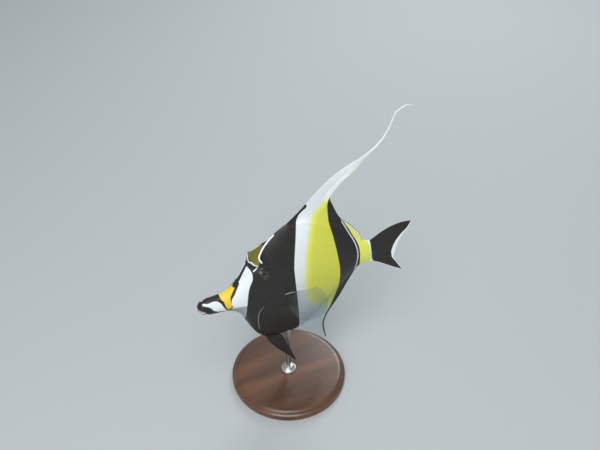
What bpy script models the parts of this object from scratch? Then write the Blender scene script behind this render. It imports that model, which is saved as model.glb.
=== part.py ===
# A life-size moorish idol fish, held level on a round display stand.
# The fish is drawn in its own frame, in millimetres: x runs back from the tip of the snout,
# z runs up and y towards its right side. to_part_frame() then swings the tail, pitches the
# fish and lifts it on its stand. The origin is the centre of the base's underside.
import math

import bmesh
import bpy
from mathutils import Matrix, Vector

MM = 0.001
GAP = 0.3                       # clearance between pieces that touch

# Pose of the fish
PITCH = math.radians(3.0)       # nose down
SNOUT_HEIGHT = 117.0            # tip of the snout above the floor
ROD_PLACE = 76.0                # where along the fish the rod enters the belly
SWING_START = 105.0             # the tail bends to the fish's left from here back
SWING_RATE = 0.0038             # radians of bend for each millimetre
SWING_FADE = (50.0, 75.0)       # heights over which the swing dies out, below the streamer

# Outlines of the flesh, without the fins: (x, z). The first few points shape the lips.
TOP_LINE = [
    (0, 0.7), (0.9, 2.6), (2.4, 4.3), (3.8, 5.1), (5.2, 5.4), (6.8, 6.1), (9, 6.6), (14, 6.4),
    (19.6, 6.6), (24.7, 8.2), (30, 10.8), (35.6, 17.3), (44, 30.3), (50, 36.8), (57, 42.6),
    (65, 48.4), (72, 53.2), (80, 56.8), (90, 57), (100, 52.6), (110, 45.6), (120, 36),
    (130, 26), (138, 18.8), (143.5, 15.5), (150, 13.8),
]
BOTTOM_LINE = [
    (0, -1.6), (0.9, -4.2), (2.4, -6.3), (3.8, -6.9), (5.2, -6.9), (7, -8.1), (10, -9.3),
    (14, -9.8), (19.6, -10.6), (25, -12.8), (30, -16), (33.6, -21.3), (36.8, -30), (41.2, -42),
    (46.2, -51.9), (52.5, -58.5), (60, -61.4), (70, -62.6), (78, -62.8), (86, -60), (95, -54.5),
    (105, -46.5), (115, -37.5), (125, -26.4), (133, -16.5), (139, -10.8), (144, -9.2), (150, -9),
]
WIDEST_LINE = [(0, -0.3), (8, -1), (20, -1.8), (30, -1), (36, -1), (42, 3), (50, 9), (60, 8),
               (75, 3), (95, 0), (120, 0), (138, 2), (150, 2.4)]
HALF_WIDTH = [(0, 0.8), (0.9, 3.0), (2.4, 4.6), (3.8, 5.0), (5.2, 4.7), (6.8, 5.1), (9, 5.5),
              (14, 5.6), (20, 6), (26, 6.8), (33, 8.2), (40, 9.4), (50, 10.8), (60, 12.2),
              (70, 12.9), (80, 12.6), (95, 11.2), (110, 9), (125, 6.4), (138, 4.3), (144, 3.3),
              (150, 2.3)]
# Keenness of the back and of the belly: 1 is an ellipse, more is a keel, less is blunt
BACK_KEEN = [(0, 1), (30, 1), (40, 0.95), (47, 0.85), (52, 0.9), (60, 1.3), (68, 1.45),
             (76, 1.45), (90, 1.6), (120, 1.6), (140, 1.2), (150, 1)]
BELLY_KEEN = [(0, 1), (28, 1), (36, 1.2), (50, 1.35), (70, 1.5), (90, 1.6), (120, 1.6), (140, 1.2),
              (150, 1)]
RING_POINTS = 36
RINGS = [(0, 8, 1.0), (8, 34, 2.4), (34, 62, 2.6), (62, 150, 4.0)]   # from, to, step
CUT_REACH = 40.0                # half depth of a cutter that goes through the whole fish

# The head ends at the edge of the gill cover, from the nape down to the throat
GILL_EDGE = [(73, 66), (69, 50), (63.5, 32), (60.5, 18), (60, 8), (56.5, -2), (51, -11), (47, -21),
             (45.6, -32), (46.5, -44), (49, -56), (51, -70)]
GILL_RAISE = 0.8                # how far the gill cover stands above the flank behind it
GILL_SLOPE = 14.0               # length over which it rises
GILL_SPAN = (-48.0, 16.0)       # heights between which it stands up
GILL_FADE = 8.0

SNOUT_CUT = 29.0                # the snout joins the head here
SNOUT_LEAN = math.radians(9.0)  # the joint leans back with height
TAIL_CUT = 139.0                # the root of the tail joins the trunk here
MOUTH_LINE = [(-3, -0.9), (3, -1.3), (7, -2.4), (10.2, -4.2), (10.8, -9), (10.4, -14)]
MOUTH_GAP = 0.4

# Eyes, with a rim round each, nostrils and the bump over each eye. All are set square to the
# flank, sunk under its surface at their place in the side view.
EYE_PLACE = (53.5, 23.8)
EYE_SIZE = (6.1, 6.1, 4.0)      # half length, half height and half depth
EYE_SUNK = 2.6
RIM_RADIUS = 5.4
RIM_THICKNESS = 0.75
NOSTRILS = [(42.8, 23.6, 0.9), (44.9, 25.4, 0.65)]      # x, z, radius
BROW_PLACE = (48.8, 32.4)
BROW_SIZE = (4.2, 2.9, 3.4)
BROW_SUNK = 0.7

# Root of the breast fin, a low pad on the flank
PAD_PLACE = (68.2, -9.0)
PAD_SIZE = (4.6, 6.4)
PAD_HEIGHT = 1.5

# The sail parts at its notch. Both are shares of its length from front to rear.
SAIL_NOTCH = 0.47
SAIL_PARTING = 0.006

# Stand
BASE_RADIUS = 50.0
BASE_HEIGHT = 9.0
BASE_EDGE = 1.6
COLLAR_RADIUS = 6.5
COLLAR_TOP_RADIUS = 3.4
COLLAR_HEIGHT = 3.5
ROD_RADIUS = 2.0
ROD_SINK = 9.0                  # how far the rod reaches into the belly

PALE = (0.80, 0.84, 0.84)
YELLOW = (0.82, 0.78, 0.16)
BLACK = (0.02, 0.022, 0.025)


# Lines and curves

def spline(points):
    """The smooth value along x of a line through the points. It never overshoots them."""
    xs = [x for x, _ in points]
    ys = [y for _, y in points]
    steps = [(ys[i + 1] - ys[i]) / (xs[i + 1] - xs[i]) for i in range(len(xs) - 1)]
    slopes = [steps[0]]
    for before, after in zip(steps, steps[1:]):
        slopes.append(2 * before * after / (before + after) if before * after > 0 else 0.0)
    slopes.append(steps[-1])

    def value(x):
        x = min(max(x, xs[0]), xs[-1])
        i = max(k for k in range(len(steps)) if k == 0 or xs[k] <= x)
        width = xs[i + 1] - xs[i]
        t = (x - xs[i]) / width
        rise = t * t * (3 - 2 * t)
        leave = t * (1 - t) ** 2 * width * slopes[i]
        arrive = t * t * (t - 1) * width * slopes[i + 1]
        return ys[i] * (1 - rise) + ys[i + 1] * rise + leave + arrive

    return value


def route(points, marks=None):
    """A smooth path through the points, read by t from 0 to 1. marks are the points' own t."""
    points = [Vector(p) for p in points]
    if marks is None:
        run = [0.0]
        for a, b in zip(points, points[1:]):
            run.append(run[-1] + (b - a).length)
        marks = [r / run[-1] for r in run]
    axes = [spline([(m, p[k]) for m, p in zip(marks, points)]) for k in range(len(points[0]))]
    return lambda t: Vector([axis(t) for axis in axes])


def ease(low, high, x):
    """Rises smoothly from 0 at low to 1 at high."""
    t = min(max((x - low) / (high - low), 0.0), 1.0)
    return t * t * (3 - 2 * t)


def bezier(a, b, c, d, t):
    """The point at t of the cubic curve from a to d."""
    s = 1 - t
    return a * s**3 + b * (3 * s * s * t) + c * (3 * s * t * t) + d * t**3


def slanted(angle):
    """A direction in the mid-plane: degrees above straight back."""
    return Vector((math.cos(math.radians(angle)), 0.0, math.sin(math.radians(angle))))


top_line = spline(TOP_LINE)
bottom_line = spline(BOTTOM_LINE)
widest_line = spline(WIDEST_LINE)
half_width = spline(HALF_WIDTH)
back_keen = spline(BACK_KEEN)
belly_keen = spline(BELLY_KEEN)
gill_edge = spline([(-z, x) for x, z in GILL_EDGE])     # x of the gill edge, by -z


def flank(x, z):
    """Half width of the plain flesh at a point of the side view."""
    middle = widest_line(x)
    if z > middle:
        share, keen = (z - middle) / (top_line(x) - middle), back_keen(x)
    else:
        share, keen = (middle - z) / (middle - bottom_line(x)), belly_keen(x)
    width = half_width(x) * max(1 - share * share, 0.0) ** (keen / 2)
    pad = ((x - PAD_PLACE[0]) / PAD_SIZE[0]) ** 2 + ((z - PAD_PLACE[1]) / PAD_SIZE[1]) ** 2
    return width + PAD_HEIGHT * math.exp(-pad)


def gill_cover(x, z):
    """How far the gill cover stands out over the plain flesh."""
    low, high = GILL_SPAN
    within = ease(low - GILL_FADE, low, z) * (1 - ease(high, high + GILL_FADE, z))
    return GILL_RAISE * within * ease(-GILL_SLOPE, 0, x - gill_edge(-z))


# From the fish's frame to the part's

def to_part_frame(p):
    """Swings the tail, pitches the fish and puts it on its stand, in metres."""
    x, y, z = p
    fade = 1 - ease(*SWING_FADE, z)
    back = max(x - SWING_START, 0.0)
    turn = SWING_RATE * back * fade
    x, y = (x - back * turn * turn / 6 + y * math.sin(turn), y * math.cos(turn) - back * turn / 2)
    out = Vector((
        x * math.cos(PITCH) - z * math.sin(PITCH) - ROD_PLACE * math.cos(PITCH),
        y,
        z * math.cos(PITCH) + x * math.sin(PITCH) + SNOUT_HEIGHT,
    ))
    return out * MM


def place(obj):
    """Moves a piece from the fish's frame to the part's."""
    for vertex in obj.data.vertices:
        vertex.co = to_part_frame(vertex.co)
    return obj


# Objects, materials and Boolean cuts

def material(name, colour, roughness, metallic=0.0):
    made = bpy.data.materials.get(name) or bpy.data.materials.new(name)
    made.use_nodes = True
    made.diffuse_color = (*colour, 1)
    shader = made.node_tree.nodes["Principled BSDF"]
    shader.inputs["Base Color"].default_value = (*colour, 1)
    shader.inputs["Roughness"].default_value = roughness
    shader.inputs["Metallic"].default_value = metallic
    return made


def new_object(name, bm, collection="moorish_idol"):
    """Closes the bmesh's account: faces outwards, and a new object in its collection."""
    bmesh.ops.recalc_face_normals(bm, faces=bm.faces)
    mesh = bpy.data.meshes.new(name)
    bm.to_mesh(mesh)
    bm.free()
    obj = bpy.data.objects.new(name, mesh)
    bpy.data.collections[collection].objects.link(obj)
    return obj


def drop(obj):
    bpy.data.objects.remove(obj)


def combine(obj, other, operation, keep=False):
    """Cuts or joins obj with another closed object, and applies it."""
    modifier = obj.modifiers.new(operation.lower(), "BOOLEAN")
    modifier.operation = operation
    modifier.object = other
    apply_modifiers(obj)
    if not keep:
        drop(other)
    return obj


def fuse(obj, pieces):
    """Joins closed pieces to obj by one union, and removes them."""
    group = bpy.data.collections.new("fused_" + obj.name)
    bpy.context.scene.collection.children.link(group)
    for piece in pieces:
        for owner in piece.users_collection:
            owner.objects.unlink(piece)
        group.objects.link(piece)
    modifier = obj.modifiers.new("union", "BOOLEAN")
    modifier.operation = "UNION"
    modifier.operand_type = "COLLECTION"
    modifier.collection = group
    apply_modifiers(obj)
    for piece in pieces:
        drop(piece)
    bpy.data.collections.remove(group)
    return obj


def apply_modifiers(obj):
    bpy.context.view_layer.update()
    graph = bpy.context.evaluated_depsgraph_get()
    mesh = bpy.data.meshes.new_from_object(obj.evaluated_get(graph))
    obj.modifiers.clear()
    obj.data = mesh


def keep_largest(obj):
    """Keeps the largest closed surface of a piece, and drops scraps that a cut leaves."""
    bm = bmesh.new()
    bm.from_mesh(obj.data)
    bmesh.ops.triangulate(bm, faces=bm.faces)
    left, shells = set(bm.faces), []
    while left:
        shell, edge_of = set(), [left.pop()]
        while edge_of:
            face = edge_of.pop()
            shell.add(face)
            for edge in face.edges:
                near = [f for f in edge.link_faces if f in left]
                left.difference_update(near)
                edge_of.extend(near)
        shells.append(shell)
    largest = max(shells, key=lambda shell: sum(f.calc_area() for f in shell))
    scraps = [f for f in bm.faces if f not in largest]
    bmesh.ops.delete(bm, geom=scraps, context="FACES")
    bm.to_mesh(obj.data)
    bm.free()
    return obj


def finish(obj, look, angle=35):
    """Gives a piece its material and smooth shading."""
    keep_largest(obj)
    obj.data.materials.clear()
    obj.data.materials.append(look)
    obj.data.shade_smooth()
    obj.data.set_sharp_from_angle(angle=math.radians(angle))
    return obj


# Flesh

def ring(x, raised, grow):
    """One closed ring of points round the flesh at x."""
    top, bottom, middle = top_line(x) + grow, bottom_line(x) - grow, widest_line(x)
    points = []
    for k in range(RING_POINTS):
        around = 2 * math.pi * k / RING_POINTS
        rise, side = math.cos(around), math.sin(around)
        z = middle + rise * (top - middle if rise > 0 else middle - bottom)
        keen = back_keen(x) if rise > 0 else belly_keen(x)
        pad = ((x - PAD_PLACE[0]) / PAD_SIZE[0]) ** 2 + ((z - PAD_PLACE[1]) / PAD_SIZE[1]) ** 2
        y = (half_width(x) + grow) * abs(side) ** keen + PAD_HEIGHT * math.exp(-pad) * abs(side)
        if raised:
            y += gill_cover(x, z) * abs(side)
        points.append((x, math.copysign(y, side) if 0 < k % (RING_POINTS // 2) else 0.0, z))
    return points


def ring_places():
    places = []
    for start, stop, step in RINGS:
        count = round((stop - start) / step)
        places += [start + (stop - start) * k / count for k in range(count)]
    return [*places, RINGS[-1][1]]


def flesh(name, raised=False, grow=0.0):
    """The whole body as one closed skin, lofted through its rings."""
    bm = bmesh.new()
    rings = [[bm.verts.new(p) for p in ring(x, raised, grow)] for x in ring_places()]
    for fore, aft in zip(rings, rings[1:]):
        for k in range(RING_POINTS):
            nxt = (k + 1) % RING_POINTS
            bm.faces.new((fore[k], fore[nxt], aft[nxt], aft[k]))
    bm.faces.new(rings[0])
    bm.faces.new(rings[-1])
    if grow:
        bmesh.ops.translate(bm, verts=rings[0], vec=(-grow, 0, 0))
        bmesh.ops.translate(bm, verts=rings[-1], vec=(grow, 0, 0))
    bmesh.ops.triangulate(bm, faces=bm.faces)
    return new_object(name, bm, "cutters")


def slab(name, outline):
    """A block through the whole width of the fish, from a closed outline in the side view."""
    bm = bmesh.new()
    face = bm.faces.new([bm.verts.new((x, -CUT_REACH, z)) for x, z in outline])
    grown = bmesh.ops.extrude_face_region(bm, geom=[face])
    moved = [v for v in grown["geom"] if isinstance(v, bmesh.types.BMVert)]
    bmesh.ops.translate(bm, verts=moved, vec=(0, 2 * CUT_REACH, 0))
    return new_object(name, bm, "cutters")


def on_flank(x, z, side, sunk=0.0):
    """A placement square to the flank: its own Z points out, its X runs back along the skin."""
    step = 0.5
    slope_x = (flank(x + step, z) - flank(x - step, z)) / (2 * step)
    slope_z = (flank(x, z + step) - flank(x, z - step)) / (2 * step)
    out = Vector((-slope_x, side, -slope_z)).normalized()
    along = Vector((1, side * slope_x, 0)).normalized()
    up = out.cross(along).normalized()
    turn = Matrix((along, up, out)).transposed().to_4x4()
    return Matrix.Translation(Vector((x, side * flank(x, z), z)) - out * sunk) @ turn


def ball(name, placed, size, segments=16, rings=10):
    """A closed ellipsoid, with its poles in and out of the flank."""
    bm = bmesh.new()
    shape = placed @ Matrix.Diagonal((*size, 1))
    bmesh.ops.create_uvsphere(bm, u_segments=segments, v_segments=rings, radius=1, matrix=shape)
    return new_object(name, bm, "cutters")


def hoop(name, placed, radius, thickness, segments=18, sides=6):
    """A closed ring that lies on the flank."""
    bpy.ops.mesh.primitive_torus_add(
        major_segments=segments, minor_segments=sides, major_radius=radius,
        minor_radius=thickness)
    obj = bpy.context.object
    obj.name = name
    obj.data.transform(placed)
    return obj


def snout_side(shift):
    """The part of the side view in front of the snout's joint."""
    lean, reach = math.tan(SNOUT_LEAN), 60.0
    x = SNOUT_CUT + shift
    return [(-20, -reach), (x - lean * reach, -reach), (x + lean * reach, reach), (-20, reach)]


def head_side(shift):
    """The part of the side view in front of the gill edge."""
    steps = 22
    high, low = GILL_EDGE[0][1], GILL_EDGE[-1][1]
    edge = [high + (low - high) * k / steps for k in range(steps + 1)]
    return [(-20, high), *[(gill_edge(-z) + shift, z) for z in edge], (-20, low)]


def tail_side(shift):
    """The part of the side view behind the root of the tail."""
    x, reach = TAIL_CUT + shift, 60.0
    return [(x, -reach), (x + 40, -reach), (x + 40, reach), (x, reach)]


def jaw_side(grow):
    """The lower jaw in the side view, under the line of the mouth."""
    edge = [(x + grow, z + grow) for x, z in MOUTH_LINE]
    return [*edge, (MOUTH_LINE[0][0], MOUTH_LINE[-1][1])]


def make_snout_and_jaw():
    snout = combine(flesh("snout"), slab("cut", snout_side(0)), "INTERSECT")
    jaw = flesh("lower_jaw")
    combine(jaw, slab("cut", jaw_side(0)), "INTERSECT")
    combine(snout, slab("cut", jaw_side(MOUTH_GAP)), "DIFFERENCE")
    return snout, jaw


def make_head():
    """The head with its gill covers, eye rims, brow bumps and nostrils."""
    head = combine(flesh("head", raised=True), slab("cut", head_side(0)), "INTERSECT")
    combine(head, slab("cut", snout_side(GAP)), "DIFFERENCE")
    added = []
    for side in (-1, 1):
        added.append(hoop("rim", on_flank(*EYE_PLACE, side), RIM_RADIUS, RIM_THICKNESS))
        added.append(ball("brow", on_flank(*BROW_PLACE, side, BROW_SUNK), BROW_SIZE, 10, 6))
    fuse(head, added)
    for side in (-1, 1):
        socket = [size + GAP for size in EYE_SIZE]
        cutter = ball("socket", on_flank(*EYE_PLACE, side, EYE_SUNK), socket, 20, 10)
        combine(head, cutter, "DIFFERENCE")
        for x, z, radius in NOSTRILS:
            cutter = ball("nostril", on_flank(x, z, side), (radius, radius, 2 * radius), 8, 6)
            combine(head, cutter, "DIFFERENCE")
    return head


def make_eye(name, side):
    return ball(name, on_flank(*EYE_PLACE, side, EYE_SUNK), EYE_SIZE, 20, 10)


def make_trunk():
    trunk = combine(flesh("trunk"), slab("cut", head_side(GAP * 1.4)), "DIFFERENCE")
    return combine(trunk, slab("cut", tail_side(0)), "DIFFERENCE")


def make_tail_root():
    return combine(flesh("tail_root"), slab("cut", tail_side(GAP)), "INTERSECT")


# Fins

def fin(name, rays, thickness):
    """A closed membrane over its rays, with each ray a ridge on both faces.
    rays are lists of points from root to tip. thickness(v, u) gives the half thickness of the
    membrane and of the ray at v along the ray, 0 at its root, and u across the fin."""
    columns = []
    for k, ray in enumerate(rays):
        columns.append((ray, k / (len(rays) - 1), True))
        if k + 1 < len(rays):
            between = [(p + q) / 2 for p, q in zip(ray, rays[k + 1])]
            columns.append((between, (k + 0.5) / (len(rays) - 1), False))
    grid = [column for column, _, _ in columns]
    last, end = len(grid) - 1, len(grid[0]) - 1
    bm = bmesh.new()
    faces = [[], []]
    for i, (column, u, is_ray) in enumerate(columns):
        pair = [[], []]
        for j, point in enumerate(column):
            along = grid[i][min(j + 1, end)] - grid[i][max(j - 1, 0)]
            across = grid[min(i + 1, last)][j] - grid[max(i - 1, 0)][j]
            normal = along.cross(across).normalized()
            membrane, ridge = thickness(j / end, u)
            half = ridge if is_ray else membrane
            pair[0].append(bm.verts.new(point + normal * half))
            pair[1].append(bm.verts.new(point - normal * half))
        faces[0].append(pair[0])
        faces[1].append(pair[1])
    for i in range(last):
        for j in range(end):
            for face in faces:
                a, b, c, d = face[i][j], face[i + 1][j], face[i + 1][j + 1], face[i][j + 1]
                bm.faces.new((a, b, c))
                bm.faces.new((a, c, d))
    front, back = faces
    rim = [(i, 0) for i in range(last)] + [(last, j) for j in range(end)]
    rim += [(i, end) for i in range(last, 0, -1)] + [(0, j) for j in range(end, 0, -1)]
    for (i, j), (m, n) in zip(rim, rim[1:] + rim[:1]):
        bm.faces.new((front[i][j], front[m][n], back[m][n]))
        bm.faces.new((front[i][j], back[m][n], back[i][j]))
    return new_object(name, bm)


def sunk(x, line, depth):
    """A point of the mid-plane under an outline of the flesh, for a root to start from."""
    slope = (line(x + 0.5) - line(x - 0.5))
    inward = Vector((slope, 0, -1)).normalized()
    if line is bottom_line:
        inward.negate()
    return Vector((x, 0, line(x))) + inward * depth


def median_fin(name, line, base, stretch, count, stations, margin, lift, arrive, hold, depth,
               thickness):
    """A fin in the mid-plane. Its rays rise from the flesh's outline, between the two places of
    base, at the angles of lift, and reach the margin at the angles of arrive, all splines over u
    from the fin's front to its rear. stretch is the part of u that this piece covers. hold gives
    how long each curve keeps its two directions, as shares of the ray."""
    rays = []
    for k in range(count):
        u = stretch[0] + (stretch[1] - stretch[0]) * k / (count - 1)
        root = sunk(base[0] + (base[1] - base[0]) * u, line, depth)
        tip_x, tip_z = margin(u)
        tip = Vector((tip_x, 0, tip_z))
        length = (tip - root).length
        near = root + slanted(lift(u)) * length * hold[0](u)
        far = tip - slanted(arrive(u)) * length * hold[1](u)
        rays.append([bezier(root, near, far, tip, j / stations) for j in range(stations + 1)])
    return fin(name, rays, thickness)


def make_dorsal_fin(name, stretch, count, stations):
    """The sail: its front edge sweeps back into the streamer, and its rear runs down to the tail.
    It is made in two pieces, which part along the ray at the sail's deepest notch."""
    margin = route(
        [(141.8, 97.6), (143.7, 94.7), (140.2, 92), (138.2, 88.8), (134.8, 86.1), (130.7, 84),
         (126.2, 81.2), (120.6, 75.8), (115.4, 68.6), (117.7, 60.2), (122.7, 47.2), (127.4, 41),
         (133.6, 33.2), (139.2, 24.2), (141.4, 16.4)],
        [0, 0.1, 0.16, 0.21, 0.26, 0.31, 0.37, 0.42, 0.47, 0.53, 0.65, 0.72, 0.81, 0.91, 1])
    lift = spline([(0, 27), (0.1, 28), (0.3, 40), (0.5, 64), (0.75, 53), (1, 22)])
    arrive = spline([(0, 11.4), (0.1, 10.6), (0.2, 9.2), (0.3, 20.6), (0.38, 29), (0.47, 52),
                     (0.7, 69), (1, 31)])
    hold = (spline([(0, 0.33), (1, 0.3)]),
            spline([(0, 0.49), (0.15, 0.22), (0.3, 0.35), (0.5, 0.31), (1, 0.3)]))

    def thickness(v, u):
        root = math.exp(-v * 7)
        return 0.26 + 0.9 * root, 0.62 - 0.2 * v + 0.8 * root

    return median_fin(name, top_line, (74, 141), stretch, count, stations, margin, lift, arrive,
                      hold, 2.5, thickness)


def make_anal_fin():
    """The lower sail, drawn out to a short point at its front."""
    margin = route(
        [(105.6, -88), (105, -81), (104.8, -74), (106.4, -60.5), (112.8, -51.5), (121, -41),
         (128.8, -26.4), (136.2, -13.2)],
        [0, 0.1, 0.2, 0.4, 0.55, 0.7, 0.85, 1])
    lift = spline([(0, -9), (0.15, -40), (0.4, -62), (0.75, -50), (1, -25)])
    arrive = spline([(0, -62), (0.2, -72), (0.4, -66), (0.7, -55), (1, -25)])
    hold = (spline([(0, 0.4), (0.2, 0.32), (1, 0.3)]), spline([(0, 0.48), (0.3, 0.35), (1, 0.3)]))

    def thickness(v, u):
        root = math.exp(-v * 6)
        return 0.26 + 0.8 * root, 0.6 - 0.2 * v + 0.7 * root

    return median_fin("anal_fin", bottom_line, (79, 140), (0, 1), 18, 8, margin, lift, arrive,
                      hold, 2.5, thickness)


def make_tail_fin():
    margin = route(
        [(182.5, 28.2), (180, 21.4), (175.4, 14.2), (171.6, 5.3), (169.6, -3.6), (168.8, -9.6),
         (171.8, -16.2), (176.6, -24.8)],
        [0, 0.14, 0.3, 0.46, 0.6, 0.72, 0.87, 1])
    rays, count, stations = [], 15, 8
    for k in range(count):
        u = k / (count - 1)
        root = Vector((147.4, 0, 12 - 19.8 * u))
        tip_x, tip_z = margin(u)
        tip = Vector((tip_x, 0, tip_z))
        length = (tip - root).length
        near = root + slanted(42 - 60 * u) * length * 0.3
        far = tip - slanted(-6 - 34 * u + 18 * u * u) * length * 0.35
        rays.append([bezier(root, near, far, tip, j / stations) for j in range(stations + 1)])

    def thickness(v, u):
        root = math.exp(-v * 7)
        return 0.28 + 1.6 * root, 0.62 - 0.2 * v + 1.5 * root

    return fin("tail_fin", rays, thickness)


def make_breast_fin(name, side):
    """A fan that stands out from its pad on the flank, with its upper rays the longest."""
    out = 12.4
    top, low = Vector((67.6, out, -4.2)), Vector((69.2, out, -13.8))
    axis = Vector((0.77, 0.64, 0.0))
    down = Vector((-0.12, 0.0, -1.0)).normalized()
    reach = spline([(0, 31), (0.1, 35), (0.25, 36), (0.5, 33), (0.75, 27), (0.9, 21), (1, 14)])
    rays, count, stations = [], 14, 8
    for k in range(count):
        u = k / (count - 1)
        angle = math.radians(-30 + 88 * u)
        heading = (axis * math.cos(angle) + down * math.sin(angle)).normalized()
        root = top.lerp(low, u)
        tip = root + heading * reach(u)
        near = root + Vector((0.62, 0.78, 1.1 * (1 - u) ** 2)) * reach(u) * 0.3
        far = tip - (heading + Vector((0.25, -0.1, 0))).normalized() * reach(u) * 0.35
        ray = [bezier(root, near, far, tip, j / stations) for j in range(stations + 1)]
        rays.append([Vector((p.x, side * p.y, p.z)) for p in ray])

    def thickness(v, u):
        root = math.exp(-v * 8)
        return 0.25 + 0.5 * root, 0.55 - 0.18 * v + 0.5 * root

    return fin(name, rays, thickness)


def make_belly_fin(name, side):
    """A long dark blade behind the throat: a spine in front, with five rays behind it."""
    rays, count, stations = [], 7, 9
    margin = route([(76.2, 6.6, -97.4), (74.2, 6.2, -90), (71.6, 5.6, -80.5), (68.2, 4.9, -70.5)])
    for k in range(count):
        u = k / (count - 1)
        root = Vector((51.6 + 10.4 * u, 2.3, -54.6 - 4.2 * u))
        tip = margin(u)
        length = (tip - root).length
        near = root + (slanted(-82 + 22 * u)) * length * 0.32
        far = tip - Vector((0.5, 0.1, -0.86)) * length * (0.32 - 0.12 * u)
        ray = [bezier(root, near, far, tip, j / stations) for j in range(stations + 1)]
        rays.append([Vector((p.x, side * p.y, p.z)) for p in ray])

    def thickness(v, u):
        root = math.exp(-v * 6)
        spine = 0.25 * (1 - v) if u == 0 else 0.0
        return 0.3 + 0.5 * root, 0.55 - 0.18 * v + 0.6 * root + spine

    return fin(name, rays, thickness)


def make_streamer():
    """The whip that the sail's front edge is drawn out to."""
    line = route([(142.75, 96.15), (148.4, 99.6), (153.4, 103.2), (159, 108.5), (163.4, 114.8),
                  (167.6, 123.6), (170.2, 129.2), (174, 131.4), (179, 133), (182.6, 131.6), (185.8, 129.3)])
    wide = spline([(0, 2.35), (0.12, 1.5), (0.3, 0.8), (0.6, 0.55), (1, 0.25)])
    deep = spline([(0, 0.42), (0.3, 0.5), (0.7, 0.42), (1, 0.25)])
    sides, stations = 8, 26
    bm, rings = bmesh.new(), []
    for j in range(stations + 1):
        t = j / stations
        x, z = line(t)
        ahead, behind = line(min(t + 0.01, 1)), line(max(t - 0.01, 0))
        along = Vector((ahead[0] - behind[0], 0, ahead[1] - behind[1])).normalized()
        across = Vector((-along.z, 0, along.x))
        ring_points = []
        for k in range(sides):
            around = 2 * math.pi * k / sides
            off = across * wide(t) * math.cos(around) + Vector((0, deep(t) * math.sin(around), 0))
            ring_points.append(bm.verts.new(Vector((x, 0, z)) + along * GAP + off))
        rings.append(ring_points)
    for fore, aft in zip(rings, rings[1:]):
        for k in range(sides):
            nxt = (k + 1) % sides
            bm.faces.new((fore[k], fore[nxt], aft[nxt], aft[k]))
    bm.faces.new(rings[0])
    bm.faces.new(rings[-1])
    return new_object("dorsal_streamer", bm)


# Stand

def cylinder(name, radius, low, high, sides=48, top_radius=None):
    bm = bmesh.new()
    shape = Matrix.Translation((0, 0, (low + high) / 2 * MM))
    bmesh.ops.create_cone(
        bm, cap_ends=True, segments=sides, radius1=radius * MM,
        radius2=(top_radius or radius) * MM, depth=(high - low) * MM, matrix=shape)
    return new_object(name, bm)


def make_stand(trunk):
    """The round base, the collar and the rod, whose end sits in a socket in the belly."""
    base = cylinder("stand_base", BASE_RADIUS, 0, BASE_HEIGHT)
    edge = base.modifiers.new("edge", "BEVEL")
    edge.width = BASE_EDGE * MM
    edge.segments = 2
    edge.limit_method = "ANGLE"
    apply_modifiers(base)
    collar_top = BASE_HEIGHT + GAP + COLLAR_HEIGHT
    collar = cylinder("stand_collar", COLLAR_RADIUS, BASE_HEIGHT + GAP, collar_top, 32,
                      COLLAR_TOP_RADIUS)
    belly = to_part_frame((ROD_PLACE + 3.2, 0, bottom_line(ROD_PLACE))).z / MM
    rod = cylinder("stand_rod", ROD_RADIUS, collar_top + GAP, belly + ROD_SINK, 20)
    socket = cylinder("socket", ROD_RADIUS + GAP, collar_top, belly + ROD_SINK + GAP, 20)
    combine(trunk, socket, "DIFFERENCE")
    return base, collar, rod


# The whole model

def clear_scene():
    for obj in list(bpy.data.objects):
        bpy.data.objects.remove(obj)
    for name in ("moorish_idol", "cutters"):
        group = bpy.data.collections.get(name) or bpy.data.collections.new(name)
        if name not in bpy.context.scene.collection.children:
            bpy.context.scene.collection.children.link(group)


def main():
    clear_scene()
    pale = material("pale_skin", PALE, 0.45)
    dark = material("black_skin", BLACK, 0.4)
    yellow = material("yellow_skin", YELLOW, 0.45)
    iris = material("eye", (0.03, 0.025, 0.02), 0.08)
    wood = material("stained_wood", (0.07, 0.035, 0.02), 0.4)
    steel = material("brushed_steel", (0.62, 0.62, 0.6), 0.3, 1.0)

    snout, jaw = make_snout_and_jaw()
    head, trunk, tail_root = make_head(), make_trunk(), make_tail_root()
    eyes = [make_eye("eye_left", -1), make_eye("eye_right", 1)]
    fins = [
        (make_dorsal_fin("dorsal_fin_front", (0, SAIL_NOTCH), 12, 12), yellow),
        (make_dorsal_fin("dorsal_fin_rear", (SAIL_NOTCH + SAIL_PARTING, 1), 12, 9), yellow),
        (make_anal_fin(), yellow), (make_tail_fin(), dark),
        (make_breast_fin("breast_fin_left", -1), pale),
        (make_breast_fin("breast_fin_right", 1), pale),
        (make_belly_fin("belly_fin_left", -1), dark), (make_belly_fin("belly_fin_right", 1), dark),
    ]
    near_flesh = flesh("near_flesh", grow=GAP)
    for piece, _ in fins:
        combine(piece, near_flesh, "DIFFERENCE", keep=True)
    drop(near_flesh)
    looks = [(snout, pale), (jaw, dark), (head, dark), (trunk, yellow), (tail_root, yellow),
             (make_streamer(), pale), *[(eye, iris) for eye in eyes], *fins]
    for piece, look in looks:
        keep_largest(piece)
        place(piece)
    base, collar, rod = make_stand(trunk)
    looks += [(base, wood), (collar, steel), (rod, steel)]
    model = bpy.data.collections["moorish_idol"]
    for piece, look in looks:
        for owner in list(piece.users_collection):
            owner.objects.unlink(piece)
        model.objects.link(piece)
        finish(piece, look)


main()
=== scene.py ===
# A moorish idol fish as a still, life-size model on a round display stand.
# The fish is drawn in its own frame, in millimetres: x runs back from the tip of the snout,
# z runs up, and y towards its right side. toPartFrame() gives it the model's pose, in metres.
import math

import bpy
import numpy as np
from mathutils import Matrix, Vector


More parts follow.
